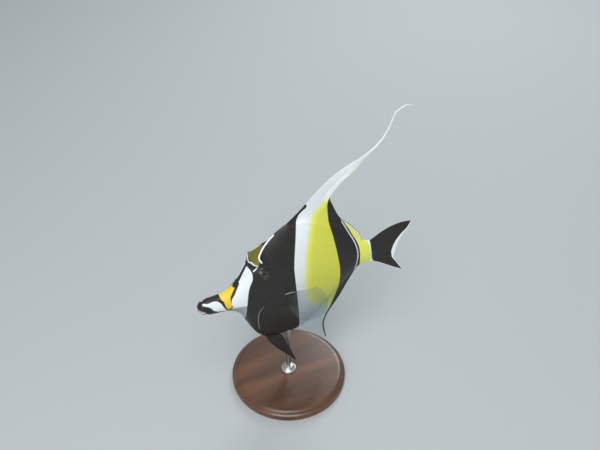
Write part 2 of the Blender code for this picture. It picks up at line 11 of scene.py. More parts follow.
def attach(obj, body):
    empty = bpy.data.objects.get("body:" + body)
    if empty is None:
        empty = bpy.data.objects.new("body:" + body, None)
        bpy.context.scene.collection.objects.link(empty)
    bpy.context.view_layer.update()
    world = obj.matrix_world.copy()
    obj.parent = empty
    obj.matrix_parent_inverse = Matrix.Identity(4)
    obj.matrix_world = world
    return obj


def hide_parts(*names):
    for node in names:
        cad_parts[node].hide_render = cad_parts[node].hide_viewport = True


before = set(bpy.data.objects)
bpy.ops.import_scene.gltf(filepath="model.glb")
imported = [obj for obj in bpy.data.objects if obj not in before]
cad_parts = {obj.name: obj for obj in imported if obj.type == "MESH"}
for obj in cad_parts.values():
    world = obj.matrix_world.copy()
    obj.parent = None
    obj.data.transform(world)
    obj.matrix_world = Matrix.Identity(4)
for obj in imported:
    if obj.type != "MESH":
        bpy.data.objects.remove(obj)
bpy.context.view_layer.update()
bpy.ops.object.select_all(action="DESELECT")


# Smooth lines and paths

def spline(points):
    # the smooth value along x of a line through the points, which never overshoots them
    xs, ys = (np.array(column, float) for column in zip(*points))
    widths = np.diff(xs)
    steps = np.diff(ys) / widths
    before, after = steps[:-1], steps[1:]
    sameWay = before * after > 0
    middle = np.where(sameWay, 2 * before * after / np.where(sameWay, before + after, 1), 0)
    slopes = np.concatenate([steps[:1], middle, steps[-1:]])

    def value(x):
        x = np.clip(x, xs[0], xs[-1])
        i = np.clip(np.searchsorted(xs, x, side="right") - 1, 0, len(widths) - 1)
        t = (x - xs[i]) / widths[i]
        rise = t * t * (3 - 2 * t)
        leave = t * (1 - t) ** 2 * widths[i] * slopes[i]
        arrive = t * t * (t - 1) * widths[i] * slopes[i + 1]
        return ys[i] * (1 - rise) + ys[i + 1] * rise + leave + arrive

    return value


def route(points, marks=None):
    # a smooth path through the points, read by t from 0 to 1; marks are the points' own t
    points = np.array(points, float)
    if marks is None:
        run = np.concatenate([[0], np.cumsum(np.linalg.norm(np.diff(points, axis=0), axis=1))])
        marks = run / run[-1]
    axes = [spline(list(zip(marks, column))) for column in points.T]
    return lambda t: np.stack([axis(t) for axis in axes], axis=-1)


def ease(low, high, x):
    # rises smoothly from 0 at low to 1 at high
    t = np.clip((x - low) / (high - low), 0, 1)
    return t * t * (3 - 2 * t)


# Pose of the fish on its stand
pose = {
    "noseDown": 3.0,            # degrees
    "snoutHeight": 117.0,       # tip of the snout above the floor
    "rodPlace": 76.0,           # where along the fish the rod enters the belly
    "swingStart": 105.0,        # the tail bends to the fish's left from here back
    "swingRate": 0.0038,        # radians of bend for each millimetre
    "swingFade": (50.0, 75.0),  # heights over which the bend dies out, below the streamer
}


def toPartFrame(points):
    x, y, z = points[..., 0], points[..., 1], points[..., 2]
    back = np.maximum(x - pose["swingStart"], 0)
    turn = pose["swingRate"] * back * (1 - ease(*pose["swingFade"], z))
    bentX = x - back * turn * turn / 6 + y * np.sin(turn)
    bentY = y * np.cos(turn) - back * turn / 2
    pitch = math.radians(pose["noseDown"])
    outX = bentX * math.cos(pitch) - z * math.sin(pitch) - pose["rodPlace"] * math.cos(pitch)
    outZ = z * math.cos(pitch) + bentX * math.sin(pitch) + pose["snoutHeight"]
    return np.stack([outX, bentY, outZ], axis=-1) / 1000


# Camera, lights and floor
view = {
    "azimuth": -23.7,           # degrees round from straight in front of the fish's left side
    "elevation": 40.7,
    "distance": 0.647,          # from the tip of the snout, along the view, in metres
    "focal": 833.3,             # in pixels of the picture, which is this wide:
    "pictureWidth": 600,
    "pictureMiddle": (300, 225),
    "snoutPixel": (197.5, 309),
}
studio = {
    "floorColour": (0.44, 0.475, 0.49),
    "fibreColour": (0.36, 0.39, 0.40),
    "fibreScale": 900.0,
    "fibreShare": 0.1,
    "floorSize": 6.0,
    "floorDrop": 0.0002,        # metres under the stand, so that the two faces don't meet
    "skyColour": (0.93, 0.96, 1.0),
    "skyStrength": 0.45,
    "lamps": [                  # name, place, size, watts, colour
        ("key", (-0.35, -0.55, 1.15), 0.7, 11.0, (1.0, 0.985, 0.96)),
        ("front", (-0.9, -0.9, 0.35), 0.8, 4.0, (0.97, 0.985, 1.0)),
        ("rim", (0.7, 0.75, 0.8), 0.5, 6.0, (0.97, 0.985, 1.0)),
    ],
    "lampsAim": (0.0, 0.0, 0.12),
}


def aimed(place, target):
    # a turn that looks from place to target
    return (Vector(target) - Vector(place)).to_track_quat("-Z", "Y")


def makeCamera():
    turn, lift = math.radians(view["azimuth"]), math.radians(view["elevation"])
    right = Vector((math.cos(turn), math.sin(turn), 0))
    level = math.cos(lift)
    back = Vector((math.sin(turn) * level, -math.cos(turn) * level, math.sin(lift)))
    up = back.cross(right)
    tip = Vector(toPartFrame(np.zeros(3)))
    aside = (view["snoutPixel"][0] - view["pictureMiddle"][0]) / view["focal"]
    below = (view["snoutPixel"][1] - view["pictureMiddle"][1]) / view["focal"]
    place = tip - view["distance"] * (right * aside - up * below - back)
    data = bpy.data.cameras.new("camera")
    data.sensor_width = 36.0
    data.lens = view["focal"] * data.sensor_width / view["pictureWidth"]
    data.clip_start = 0.01
    camera = bpy.data.objects.new("camera", data)
    camera.matrix_world = Matrix.Translation(place) @ Matrix((right, up, back)).transposed().to_4x4()
    bpy.context.scene.collection.objects.link(camera)
    bpy.context.scene.camera = camera


def makeLights():
    world = bpy.data.worlds.new("studio")
    world.use_nodes = True
    sky = world.node_tree.nodes["Background"]
    sky.inputs["Color"].default_value = (*studio["skyColour"], 1)
    sky.inputs["Strength"].default_value = studio["skyStrength"]
    bpy.context.scene.world = world
    bpy.context.scene.view_settings.view_transform = "Standard"
    for name, place, size, watts, colour in studio["lamps"]:
        data = bpy.data.lights.new(name, "AREA")
        data.size, data.energy, data.color = size, watts, colour
        lamp = bpy.data.objects.new(name, data)
        lamp.location = place
        lamp.rotation_euler = aimed(place, studio["lampsAim"]).to_euler()
        bpy.context.scene.collection.objects.link(lamp)


makeCamera()
makeLights()
print("camera and lights placed")


# Materials

class Amount:
    # a number that varies over a surface; Python's own operators add its Math nodes
    def __init__(self, look, socket):
        self.look, self.socket = look, socket

    def join(self, operation, first, second):
        return self.look.node("ShaderNodeMath", {"operation": operation}, {0: first, 1: second})

    def __add__(self, other):
        return self.join("ADD", self, other)

    def __radd__(self, other):
        return self.join("ADD", other, self)

    def __sub__(self, other):
        return self.join("SUBTRACT", self, other)

    def __rsub__(self, other):
        return self.join("SUBTRACT", other, self)

    def __mul__(self, other):
        return self.join("MULTIPLY", self, other)

    def __rmul__(self, other):
        return self.join("MULTIPLY", other, self)


class Look:
    # a material with its node tree
    def __init__(self, name, settings):
        self.material = bpy.data.materials.new(name)
        self.material.use_nodes = True
        self.tree = self.material.node_tree
        self.shader = self.tree.nodes["Principled BSDF"]
        self.feed(settings)

    def feed(self, inputs, target=None):
        target = target or self.shader
        for name, value in inputs.items():
            socket = target.inputs[name]
            if isinstance(value, Amount):
                self.tree.links.new(value.socket, socket)
            elif socket.type == "RGBA" and len(value) == 3:
                socket.default_value = (*value, 1)
            else:
                socket.default_value = value

    def node(self, kind, settings, inputs, output=0):
        made = self.tree.nodes.new(kind)
        for name, value in settings.items():
            if name == "stops":
                for stop, (position, colour) in enumerate(value):
                    ramp = made.color_ramp.elements
                    element = ramp[stop] if stop < 2 else ramp.new(position)
                    element.position, element.color = position, (*colour, 1)
            else:
                setattr(made, name, value)
        self.feed(inputs, made)
        return Amount(self, made.outputs[output])

    def attribute(self, name, output="Fac"):
        return self.node("ShaderNodeAttribute", {"attribute_name": name}, {}, output)

    def smooth(self, value, low, high):
        return self.node("ShaderNodeMapRange", {"interpolation_type": "SMOOTHSTEP"},
                         {"Value": value, "From Min": low, "From Max": high})

    def mix(self, share, first, second):
        return self.node("ShaderNodeMix", {"data_type": "RGBA"}, {0: share, 6: first, 7: second}, 2)

    def noise(self, place, scale, detail):
        return self.node("ShaderNodeTexNoise", {},
                         {"Vector": place, "Scale": scale, "Detail": detail})

    def wave(self, operation, value):
        # sine or cosine of a varying value
        return self.node("ShaderNodeMath", {"operation": operation}, {0: value})

    def bump(self, height, distance, strength):
        self.feed({"Normal": self.node("ShaderNodeBump", {}, {
            "Height": height, "Distance": distance, "Strength": strength}, "Normal")})


def wear(obj, look):
    obj.data.materials.clear()
    obj.data.materials.append(look.material)


def dress(obj, look, slot, *nodes):
    # gives a finished piece its look and its body, and hides the CAD nodes that it stands for; slot is
    # not used
    wear(obj, look)
    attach(obj, "root")
    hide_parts(*nodes)


# Mesh helpers

def added(name, primitive, **settings):
    # a new piece from a plain primitive, alone in the selection
    bpy.ops.object.select_all(action="DESELECT")
    primitive(**{"location": (0, 0, 0), **settings})
    obj = bpy.context.object
    obj.name = obj.data.name = name
    return obj


def readPoints(obj):
    points = np.empty(len(obj.data.vertices) * 3, np.float32)
    obj.data.vertices.foreach_get("co", points)
    return points.reshape(-1, 3).astype(float)


def writePoints(obj, points):
    obj.data.vertices.foreach_set("co", points.astype(np.float32).ravel())
    obj.data.update()


def readNormals(obj):
    normals = np.empty(len(obj.data.vertices) * 3, np.float32)
    obj.data.vertex_normals.foreach_get("vector", normals)
    return normals.reshape(-1, 3).astype(float)


def writeAmount(obj, name, values):
    made = obj.data.attributes.new(name, "FLOAT", "POINT")
    made.data.foreach_set("value", np.asarray(values, np.float32))


def writePlace(obj, points):
    made = obj.data.attributes.new("fishPlace", "FLOAT_VECTOR", "POINT")
    made.data.foreach_set("vector", points.astype(np.float32).ravel())


def selectOnly(obj):
    bpy.ops.object.select_all(action="DESELECT")
    obj.select_set(True)
    bpy.context.view_layer.objects.active = obj


def faceOutwards(obj):
    selectOnly(obj)
    bpy.ops.object.mode_set(mode="EDIT")
    bpy.ops.mesh.select_all(action="SELECT")
    bpy.ops.mesh.normals_make_consistent(inside=False)
    bpy.ops.object.mode_set(mode="OBJECT")


def smoothShade(obj, angle):
    selectOnly(obj)
    bpy.ops.object.shade_smooth_by_angle(angle=math.radians(angle))


softAngle = 60                  # degrees; the fish's surfaces are smooth across edges below this


def setInPose(obj, points):
    # a closed piece drawn in the fish's frame takes its place in the model
    writePoints(obj, toPartFrame(points))
    faceOutwards(obj)
    smoothShade(obj, softAngle)


def hump(distance, wide):
    # 1 on a line or ring, and falling away softly on both sides
    return np.exp(-((distance / wide) ** 2))


# Shape of the flesh: outlines of the side view, and the half width along the fish
flesh = {
    "topLine": [
        (0, 0.7), (0.9, 2.6), (2.4, 4.3), (3.8, 5.1), (5.2, 5.4), (6.8, 6.1), (9, 6.6), (14, 6.4),
        (19.6, 6.6), (24.7, 8.2), (30, 10.8), (35.6, 17.3), (44, 30.3), (50, 36.8), (57, 42.6),
        (65, 48.4), (72, 53.2), (80, 56.8), (90, 57), (100, 52.6), (110, 45.6), (120, 36),
        (130, 26), (138, 18.8), (143.5, 15.5), (150, 13.6), (154, 11.6), (156.5, 9.5)],
    "bottomLine": [
        (0, -1.6), (0.9, -4.2), (2.4, -6.3), (3.8, -6.9), (5.2, -6.9), (7, -8.1), (10, -9.3),
        (14, -9.8), (19.6, -10.6), (25, -12.8), (30, -16), (33.6, -21.3), (36.8, -30), (41.2, -42),
        (46.2, -51.9), (52.5, -58.5), (60, -61.4), (70, -62.6), (78, -62.8), (86, -60), (95, -54.5),
        (105, -46.5), (115, -37.5), (125, -26.4), (133, -16.5), (139, -10.8), (144, -9.2),
        (150, -8.8), (154, -7.6), (156.5, -6)],
    "widestLine": [(0, -0.3), (8, -1), (20, -1.8), (30, -1), (36, -1), (42, 3), (50, 9), (60, 8),
                   (75, 3), (95, 0), (120, 0), (138, 2), (156.5, 2.4)],
    "halfWidth": [(0, 0.8), (0.9, 3.0), (2.4, 4.6), (3.8, 5.0), (5.2, 4.7), (6.8, 5.1), (9, 5.5),
                  (14, 5.6), (20, 6), (26, 6.8), (33, 8.2), (40, 9.4), (50, 10.8), (60, 12.2),
                  (70, 12.9), (80, 12.6), (95, 11.2), (110, 9), (125, 6.4), (138, 4.3), (144, 3.3),
                  (150, 2.0), (153, 0.9), (155, 0.35), (156.5, 0.12)],
    # keenness of the back and of the belly: 1 is an ellipse, more is a keel, less is blunt
    "backKeen": [(0, 1), (30, 1), (40, 0.95), (47, 0.85), (52, 0.9), (60, 1.3), (68, 1.45),
                 (76, 1.45), (90, 1.6), (120, 1.6), (140, 1.2), (156.5, 1)],
    "bellyKeen": [(0, 1), (28, 1), (36, 1.2), (50, 1.35), (70, 1.5), (90, 1.6), (120, 1.6),
                  (140, 1.2), (156.5, 1)],
    "padPlace": (68.2, -9.0),   # low pad at the root of the breast fin
    "padSize": (4.6, 6.4),
    "padHeight": 1.5,
}
gill = {
    "edge": [(73, 66), (69, 50), (63.5, 32), (60.5, 18), (60, 8), (56.5, -2), (51, -11), (47, -21),
             (45.6, -32), (46.5, -44), (49, -56), (51, -70)],
    "raise": 0.8,               # how far the gill cover stands above the flank behind it
    "slope": 14.0,              # length over which it rises
    "drop": 0.9,                # length over which it falls to the flank
    "span": (-48.0, 16.0),      # heights between which it stands up
    "fade": 8.0,
}

topLine, bottomLine = spline(flesh["topLine"]), spline(flesh["bottomLine"])
widestLine, halfWidth = spline(flesh["widestLine"]), spline(flesh["halfWidth"])
backKeen, bellyKeen = spline(flesh["backKeen"]), spline(flesh["bellyKeen"])
gillEdge = spline([(-z, x) for x, z in gill["edge"]])


def pad(x, z):
    across = (x - flesh["padPlace"][0]) / flesh["padSize"][0]
    along = (z - flesh["padPlace"][1]) / flesh["padSize"][1]
    return flesh["padHeight"] * np.exp(-across**2 - along**2)


def flank(x, z):
    # half width of the plain flesh at a point of the side view
    middle = widestLine(x)
    above = z > middle
    reach = np.where(above, topLine(x) - middle, middle - bottomLine(x))
    share = np.abs(z - middle) / reach
    keen = np.where(above, backKeen(x), bellyKeen(x))
    return halfWidth(x) * np.maximum(1 - share**2, 0) ** (keen / 2) + pad(x, z)


def gillCover(x, z):
    low, high = gill["span"]
    within = ease(low - gill["fade"], low, z) * (1 - ease(high, high + gill["fade"], z))
    past = x - gillEdge(-z)
    return gill["raise"] * within * ease(-gill["slope"], 0, past) * (1 - ease(0, gill["drop"], past))


def onFlank(x, z, side, depth=0.0):
    # a placement square to the flank: its own Z points out, its X runs back along the skin
    step = 0.5
    slopeX = float(flank(x + step, z) - flank(x - step, z)) / (2 * step)
    slopeZ = float(flank(x, z + step) - flank(x, z - step)) / (2 * step)
    out = Vector((-slopeX, side, -slopeZ)).normalized()
    along = Vector((1, side * slopeX, 0)).normalized()
    up = out.cross(along).normalized()
    turn = Matrix((along, up, out)).transposed().to_4x4()
    return Matrix.Translation(Vector((x, side * float(flank(x, z)), z)) - out * depth) @ turn


def localTo(placed, points):
    # the points in the placement's own axes
    inverse = np.array(placed.inverted())
    return points @ inverse[:3, :3].T + inverse[:3, 3]


# Markings, drawn in the side view. Every outline is closed.
rearEdge = [(127.1, 39.1), (130.3, 32.2), (133.6, 24.3), (136.8, 17), (138.1, 11.8), (138.6, 5),
            (138.5, -1.7)]      # between the second band and the yellow behind it
marks = {
    "bandOne": [
        (42.4, 31), (43.4, 28.9), (44.5, 27), (45.1, 24.2), (44.5, 19.8), (41, 11.8), (39, 3.8),
        (37.4, -5.7), (36.4, -17), (35.6, -26), (33, -36), (30, -110), (84, -110), (82.6, -72),
        (82.1, -57.5), (79.9, -30.2), (78.8, -10.9), (78.2, 2.4), (78, 16.5), (79, 25.9),
        (80.9, 35.9), (83.8, 47.5), (85.6, 54), (87.4, 59), (89.6, 62.6), (92.5, 65),
        (95.4, 66.6), (96, 68.4), (93, 72), (60, 72), (44, 38)],
    "bandTwo": [
        (116.6, 71.5), (113.6, 65.8), (112.8, 60), (113.2, 48), (115.4, 33), (118, 12),
        (119.5, -3.5), (119.6, -11), (119.2, -22), (118.2, -33.4), (115.4, -42), (112, -50.8),
        (108.4, -56.7), (105.8, -63.4), (104.4, -69.5), (104.8, -76.2), (106.2, -84.6), (107, -94),
        (150, -94), (140.4, -14), (138.6, -6), *reversed(rearEdge), (124.6, 48), (124, 72)],
    "yellow": [
        (119, 73), (115.2, 70.4), (110.4, 67.5), (104.2, 62.6), (99.8, 57.1), (97.2, 50.9),
        (94.3, 44), (91.4, 35.4), (89.2, 27.3), (87.2, 13.4), (86.4, -2.3), (87.4, -14), (91.5, -28),
        (98, -40), (106, -50), (112, -60), (119, -50), (126, -20), (128, 10), (123, 40), (119, 62)],
    "rearYellow": [
        (126, 42), *rearEdge, (138.8, -7), (140.4, -16), (149.4, -16), (149.1, -8.1),
        (148.3, -3.8), (147.9, 3.1), (147, 10.1), (145.9, 17.1), (145, 30)],
    "fleck": [(133.6, 84.6), (135, 85.2), (136.6, 86.6), (136, 89), (132, 86)],
    "face": [
        (43.5, 28.9), (44.6, 27), (45.1, 24.2), (44.6, 20.3), (42, 15), (39.7, 7.9), (38.4, 0.5),
        (37.3, -5.7), (32.2, -4.8), (27.4, -5.2), (25.8, -0.2), (26.6, 3.3), (29.8, 7.2),
        (33.5, 12.7), (37.2, 18.8), (40.5, 24.5), (42.2, 27.3)],
    "saddle": [
        (18.7, 7.4), (18.7, 5.4), (20.3, 3.1), (21, -0.9), (22.9, -5.8), (24.8, -4.9), (26.1, -0.6),
        (25.5, 1.6), (26, 5), (28.8, 8.8), (31.2, 11.6), (31, 14.4), (28, 12.6), (22, 9)],
    "snoutTop": [
        (-2, 9), (-2, 1.6), (1.5, 2.6), (3.1, 4.4), (5.4, 5), (7.7, 5), (11.7, 5.2), (15.2, 4.6),
        (17.8, 2.4), (20.4, -4), (22.6, -7.6), (24.4, -7.2), (26.8, -3.4), (27, -0.6), (26.6, 2.4),
        (28.6, 5.2), (31, 8.6), (33.4, 12.4), (35, 15.2), (34.4, 19), (18, 14)],
    "mouthDark": [
        (3.1, 5), (4.5, 3.8), (7.5, 2.8), (9.7, 1), (11.1, -1.9), (15.3, -5.4), (20.8, -7.8),
        (20, -14), (-2, -14), (-2, 3)],
    "snoutRing": [(-2, 0.6), (1.2, 0.4), (3.6, -0.4), (4.9, -1.8), (4, -3.5), (-2, -4.2)],
    # painted shade: the pale throat under the head, greyed as if in shadow
    "shadedThroat": [
        (20, -9), (26, -6), (32, -6), (37.6, -6.9), (36.8, -17), (36, -26), (34, -40), (20, -20)],
    "olive": [
        (44, 34), (45.8, 33), (47.2, 33.2), (49.6, 32.4), (51.6, 33), (52, 35.2), (53.2, 37.8),
        (56.2, 41.2), (58, 43.4), (56, 46), (50, 44)],
    "tailDark": [(147.8, 19), (147.9, 16.5), (148.5, 9.7), (149.1, 2.8), (149.5, -4.2),
                 (150.9, -9.1), (151.4, -20), (220, -60), (220, 60)],
}
# Lines of the side view, with their half width
sideLines = {
    "gillLine": ([(50.3, -11.5), (49.9, -12.1), (46.1, -18.3), (45.3, -26.7), (45.6, -34),
                  (46.5, -42.1)], 0.3),
    "thin": ([(124.6, 42), (125.5, 39.6), (129.7, 29.5), (132.8, 22.3), (135.1, 16.1), (136.2, 10.5),
              (136.6, 5.5), (136, 0), (135.4, -4.3), (134.2, -11.5)], 0.4),
}


def bothSides(line):
    return [line, [(x, -y, z) for x, y, z in line]]


# Lines on the head, as paths of x, y and z, with a half width that may change along x
headLines = {
    "ridge": ([[(31.8, 0, 12.8), (35.6, 0, 17.9), (40, 0, 24.3), (43, 0, 28.9), (45.4, 0, 32.3)]],
              [(32, 2.4), (35, 2.1), (38, 1.7), (46, 1.35)]),
    "brow": (bothSides([(45.4, 0, 32.2), (45.5, 1.3, 32.1), (46.4, 4.8, 34), (47.8, 7.8, 33.2),
                        (50.1, 8.4, 31.9), (48.6, 7.4, 28.9), (46.5, 7.2, 26.9)]), 0.5),
    "arc": ([[(53.3, -7.2, 33.2), (52.7, -5.1, 36.2), (54.9, -3.4, 39.4), (58.6, -1.7, 43.1),
              (63.4, -0.5, 47.1), (67.5, -0.3, 50.2)],
             [(52, 5.4, 35.6), (53.5, 3.4, 37.6), (55.8, 2.2, 40.3), (59.2, 1.6, 43.1),
              (63.4, 0.9, 46.8), (67.5, 0.3, 50.2)]], 0.6),
}
tracing = {
    "farAway": 8.0,             # distances are not followed further than this
    "outlineSteps": 5,          # straight steps between two points of an outline
    "lineSteps": 60,            # straight steps along a line of the side view
    "headSteps": 50,            # the same along a line on the head
    "grooveSteps": 40,          # the same along a groove or a fold
    "evenings": 4,              # times that a line laid on the skin is evened out
}


def steps(line, count, marks=None):
    # a smooth line as a path of short straight steps
    return route(line, marks)(np.linspace(0, 1, count))


def roundedOutline(points):
    # a closed outline with its corners eased by a curve through all its points
    closed = [*points, points[0]]
    count = len(points) * tracing["outlineSteps"] + 1
    return steps(closed, count, np.linspace(0, 1, len(closed)))[:-1]


def closeTo(points, line):
    # the points that lie within farAway of the line's own box
    low, high = line.min(axis=0) - tracing["farAway"], line.max(axis=0) + tracing["farAway"]
    return ((points > low) & (points < high)).all(axis=1)


def pathDistance(points, path):
    # distance to a path of short straight steps, in the plane or in space
    found = np.full(len(points), tracing["farAway"])
    close = closeTo(points, path)
    nearby = points[close]
    nearest = np.full(len(nearby), tracing["farAway"] ** 2)
    for a, b in zip(path, path[1:]):
        edge = b - a
        share = np.clip((nearby - a) @ edge / max(edge @ edge, 1e-9), 0, 1)
        off = nearby - a - share[:, None] * edge
        nearest = np.minimum(nearest, np.einsum("ij,ij->i", off, off))
    found[close] = np.sqrt(nearest)
    return found


def signedDistance(points, outline):
    # distance to the outline, negative inside it
    inside = np.zeros(len(points), bool)
    for a, b in zip(outline, np.roll(outline, -1, axis=0)):
        if a[1] != b[1]:
            crosses = (a[1] > points[:, 1]) != (b[1] > points[:, 1])
            share = (points[:, 1] - a[1]) / (b[1] - a[1])
            inside ^= crosses & (points[:, 0] < a[0] + share * (b[0] - a[0]))
    return np.where(inside, -1, 1) * pathDistance(points, np.vstack([outline, outline[:1]]))


def laidOn(path, points):
    # the path's points moved to the nearest of the skin's own, and evened out
    close = points[closeTo(points, path)]
    laid = np.array([close[np.argmin(np.linalg.norm(close - at, axis=1))] for at in path])
    for _ in range(tracing["evenings"]):
        laid[1:-1] = (laid[:-2] + 2 * laid[1:-1] + laid[2:]) / 4
    return laid


def writeMarks(obj, points):
    # the markings' distances at every point, and its place on the fish
    writePlace(obj, points)
    side = points[:, [0, 2]]
    for name, outline in marks.items():
        writeAmount(obj, name, signedDistance(side, roundedOutline(outline)))
    for name, (line, halfWide) in sideLines.items():
        writeAmount(obj, name, pathDistance(side, steps(line, tracing["lineSteps"])) - halfWide)


def writeHeadLines(obj, points):
    for name, (paths, halfWide) in headLines.items():
        wide = spline(halfWide)(points[:, 0]) if isinstance(halfWide, list) else halfWide
        laid = [laidOn(steps(path, tracing["headSteps"]), points) for path in paths]
        near = np.min([pathDistance(points, path) for path in laid], axis=0)
        writeAmount(obj, name, near - wide)


# Skin colours
paint = {
    "white": (0.80, 0.86, 0.875),
    # grey of the lower body: partly the fish's own duller belly, partly painted shade
    "greyBellyAndShade": (0.30, 0.38, 0.42),
    # painted shade: the yellow's darker tone towards the belly
    "yellowShade": (0.38, 0.46, 0.10),
    "yellowEnd": (88.0, 0.86),      # the yellow ends lower towards the tail: from x, by this slope
    "yellow": (0.80, 0.83, 0.13),
    "deepYellow": (0.68, 0.70, 0.08),
    "saddle": (0.84, 0.60, 0.05),
    "black": (0.008, 0.009, 0.011),
    "brown": (0.024, 0.020, 0.014),
    "olive": (0.15, 0.14, 0.022),
    "lip": (0.50, 0.44, 0.43),
    # painted shade over the pale throat
    "shadedThroat": (0.30, 0.35, 0.34),
    "scaleSize": 0.5,
    "scaleStretch": (0.8, 1.0, 1.25),
    "scaleShadow": (0.02, 0.025, 0.03),
    "scaleShare": 0.12,
    "scaleRelief": 0.00008,     # metres
    "lowShade": (-8.0, -46.0),  # heights over which the white turns grey, and the yellow duller: partly the fish's own duller belly, partly painted shade
    # heights over which the yellow darkens with painted shade
    "lowYellow": (-14.0, -48.0),
    "yellowEdge": 2.4,          # the yellow's softness, in millimetres to each side
    "yellowDeepens": (-1.0, -7.5),
    "roughness": 0.42,
    "coat": 0.08,
    "coatRoughness": 0.25,
    "specular": 0.36,
}
# Layers over the white: marking, colour, softness of its edge in millimetres, and strength
finLayers = [
    ("rearYellow", "yellow", 0.2, 1), ("fleck", "yellow", 0.8, 0.7), ("bandOne", "black", 0.3, 1),
    ("bandTwo", "black", 0.25, 1), ("tailDark", "black", 0.2, 1), ("thin", "white", 0.2, 0.95)]
skinLayers = [
    ("rearYellow", "yellow", 0.2, 1), ("shadedThroat", "shadedThroat", 1.5, 1), ("bandOne", "black", 0.3, 1),
    ("bandTwo", "black", 0.25, 1), ("snoutTop", "black", 0.25, 1), ("mouthDark", "black", 0.3, 1),
    ("tailDark", "black", 0.2, 1), ("face", "white", 0.3, 1), ("saddle", "saddle", 0.35, 1),
    ("olive", "olive", 0.7, 1), ("snoutRing", "lip", 0.7, 1), ("ridge", "black", 0.3, 1),
    ("brow", "white", 0.2, 1), ("arc", "white", 0.2, 1), ("thin", "white", 0.2, 0.95),
    ("gillLine", "white", 0.3, 0.3)]


def paintMarkings(look, layers):
    # the fish's colours, layer over layer: its place, its colour, where it is black, its mottling
    place = look.attribute("fishPlace", "Vector")
    length = look.node("ShaderNodeSeparateXYZ", {}, {0: place}, "X")
    height = look.node("ShaderNodeSeparateXYZ", {}, {0: place}, "Z")
    wobble = (look.noise(place, 0.55, 3.0) - 0.5) * 0.25 + (look.noise(place, 2.2, 2.0) - 0.5) * 0.1
    mottle = look.noise(place, 0.14, 4.0)
    # the white turns grey towards the belly: partly its own duller tone, partly painted shade
    low = look.smooth(height, *paint["lowShade"])
    colour = look.mix(low * 0.85 + (mottle - 0.5) * 0.25, paint["white"], paint["greyBellyAndShade"])
    inYellow = look.attribute("yellow")
    deep = look.smooth(inYellow, *paint["yellowDeepens"])
    yellow = look.mix(deep, paint["yellow"], paint["deepYellow"])
    # the yellow darkens towards the belly: painted shade
    yellow = look.mix(look.smooth(height, *paint["lowYellow"]), yellow, paint["yellowShade"])
    start, slope = paint["yellowEnd"]
    upper = look.smooth(height + (length - start) * slope, -42.0, -18.0)
    edge = paint["yellowEdge"]
    colour = look.mix(look.smooth(inYellow + wobble, edge, -edge) * upper, colour, yellow)
    soot = look.mix(mottle, paint["black"], paint["brown"])
    dark = 0.0
    for name, tint, soft, strength in layers:
        layer = look.smooth(look.attribute(name) + wobble, soft, -soft) * strength
        colour = look.mix(layer, colour, soot if tint == "black" else paint[tint])
        dark = dark + layer - dark * layer if tint == "black" else dark * (1 - layer)
    return place, colour, dark, mottle


def makeSkinLook():
    look = Look("fishSkin", {
        "Roughness": paint["roughness"], "Coat Weight": paint["coat"],
        "Coat Roughness": paint["coatRoughness"], "Specular IOR Level": paint["specular"]})
    place, colour, dark, mottle = paintMarkings(look, skinLayers)
    stretched = look.node("ShaderNodeMapping", {}, {"Vector": place, "Scale": paint["scaleStretch"]})
    scales = look.node("ShaderNodeTexVoronoi", {"feature": "F1"},
                       {"Vector": stretched, "Scale": 1 / paint["scaleSize"]}, "Distance")
    colour = look.mix(scales * paint["scaleShare"], colour, paint["scaleShadow"])
    look.feed({"Base Color": colour, "Roughness": 0.38 + mottle * 0.14 + scales * 0.06 - dark * 0.03})
    look.bump(scales * -1 + look.noise(place, 5.0, 3.0) * 0.5, paint["scaleRelief"], 0.4)
    return look


skinLook = makeSkinLook()
print("skin colours mixed")


# Skin of the whole body, in one piece
skinMesh = {
    "segments": 320,
    "stations": [(0, 8, 0.25), (8, 30, 0.5), (30, 41, 0.4), (41, 47, 0.2), (47, 60, 0.35),
                 (60, 72, 0.5), (72, 123, 1.0), (123, 140, 0.3), (140, 156.5, 0.5)],
    "grooves": {                # line, depth, half width
        "mouth": ([(-3, -0.9), (3, -1.3), (7, -2.4), (9.4, -3.7)], 0.75, 0.42),
        "snoutFold": ([(7.4, -0.6), (9.6, -3.2), (10.6, -6.2), (10.2, -9)], 0.3, 0.55),
        "cheek": ([(57, 13), (54.5, 4), (49, -6), (42.5, -12), (37, -14)], 0.1, 1.0),
        "lateralLine": ([(62, 33), (70, 40.5), (80, 44.5), (92, 43), (104, 35), (116, 24),
                         (128, 12.5), (138, 4), (149, 0.5)], 0.12, 0.5),
    },
    "lipHeight": 0.35,
    "lipAway": 1.2,             # from the mouth line
    "lipWide": 0.7,
    "lipEnds": (4.1, 6.1),      # where along the snout the lips die out
    "foldHeight": 1.0,          # fold of the forehead under the white arcs
    "foldWide": 1.6,
    "foldEnds": (57, 63),
    "browPlace": (48.8, 32.4),
    "browSize": (4.2, 2.9),
    "browHeight": 2.7,
    "browEdge": (0.1, 1.3),     # shares of its size over which the knob falls off
    "nostrils": [(42.6, 24.2, 0.8), (44.4, 26.2, 0.6)],
    "nostrilRim": (0.22, 1.5, 0.5),     # height, and place and width in radii
    "nostrilDepth": 0.9,        # in radii
    "deep": 6,                  # points further under the flank than this are left alone
    "nostrilDeep": 4,
}
eye = {
    "place": (53.5, 23.8),
    "size": (6.1, 6.1, 4.0),
    "sunk": 2.6,
    "cornea": (0.35, 3.6),      # height and radius
    "socket": (3.0, 4.95),      # depth and radius
    "rimSwell": (0.45, 0.9),    # height and half width of the skin round the rim
    "rimRadius": 5.2,
    "rimThickness": 0.6,
    "rimSunk": 0.1,
    "pupil": 2.2,
    "ring": 0.32,
    "ballSteps": (96, 64),      # round it, and from its front to its back
    "rimSteps": (96, 20),
}


def stationList():
    places = []
    for start, stop, step in skinMesh["stations"]:
        count = round((stop - start) / step)
        places += [start + (stop - start) * k / count for k in range(count)]
    return np.array([*places, skinMesh["stations"][-1][1]])


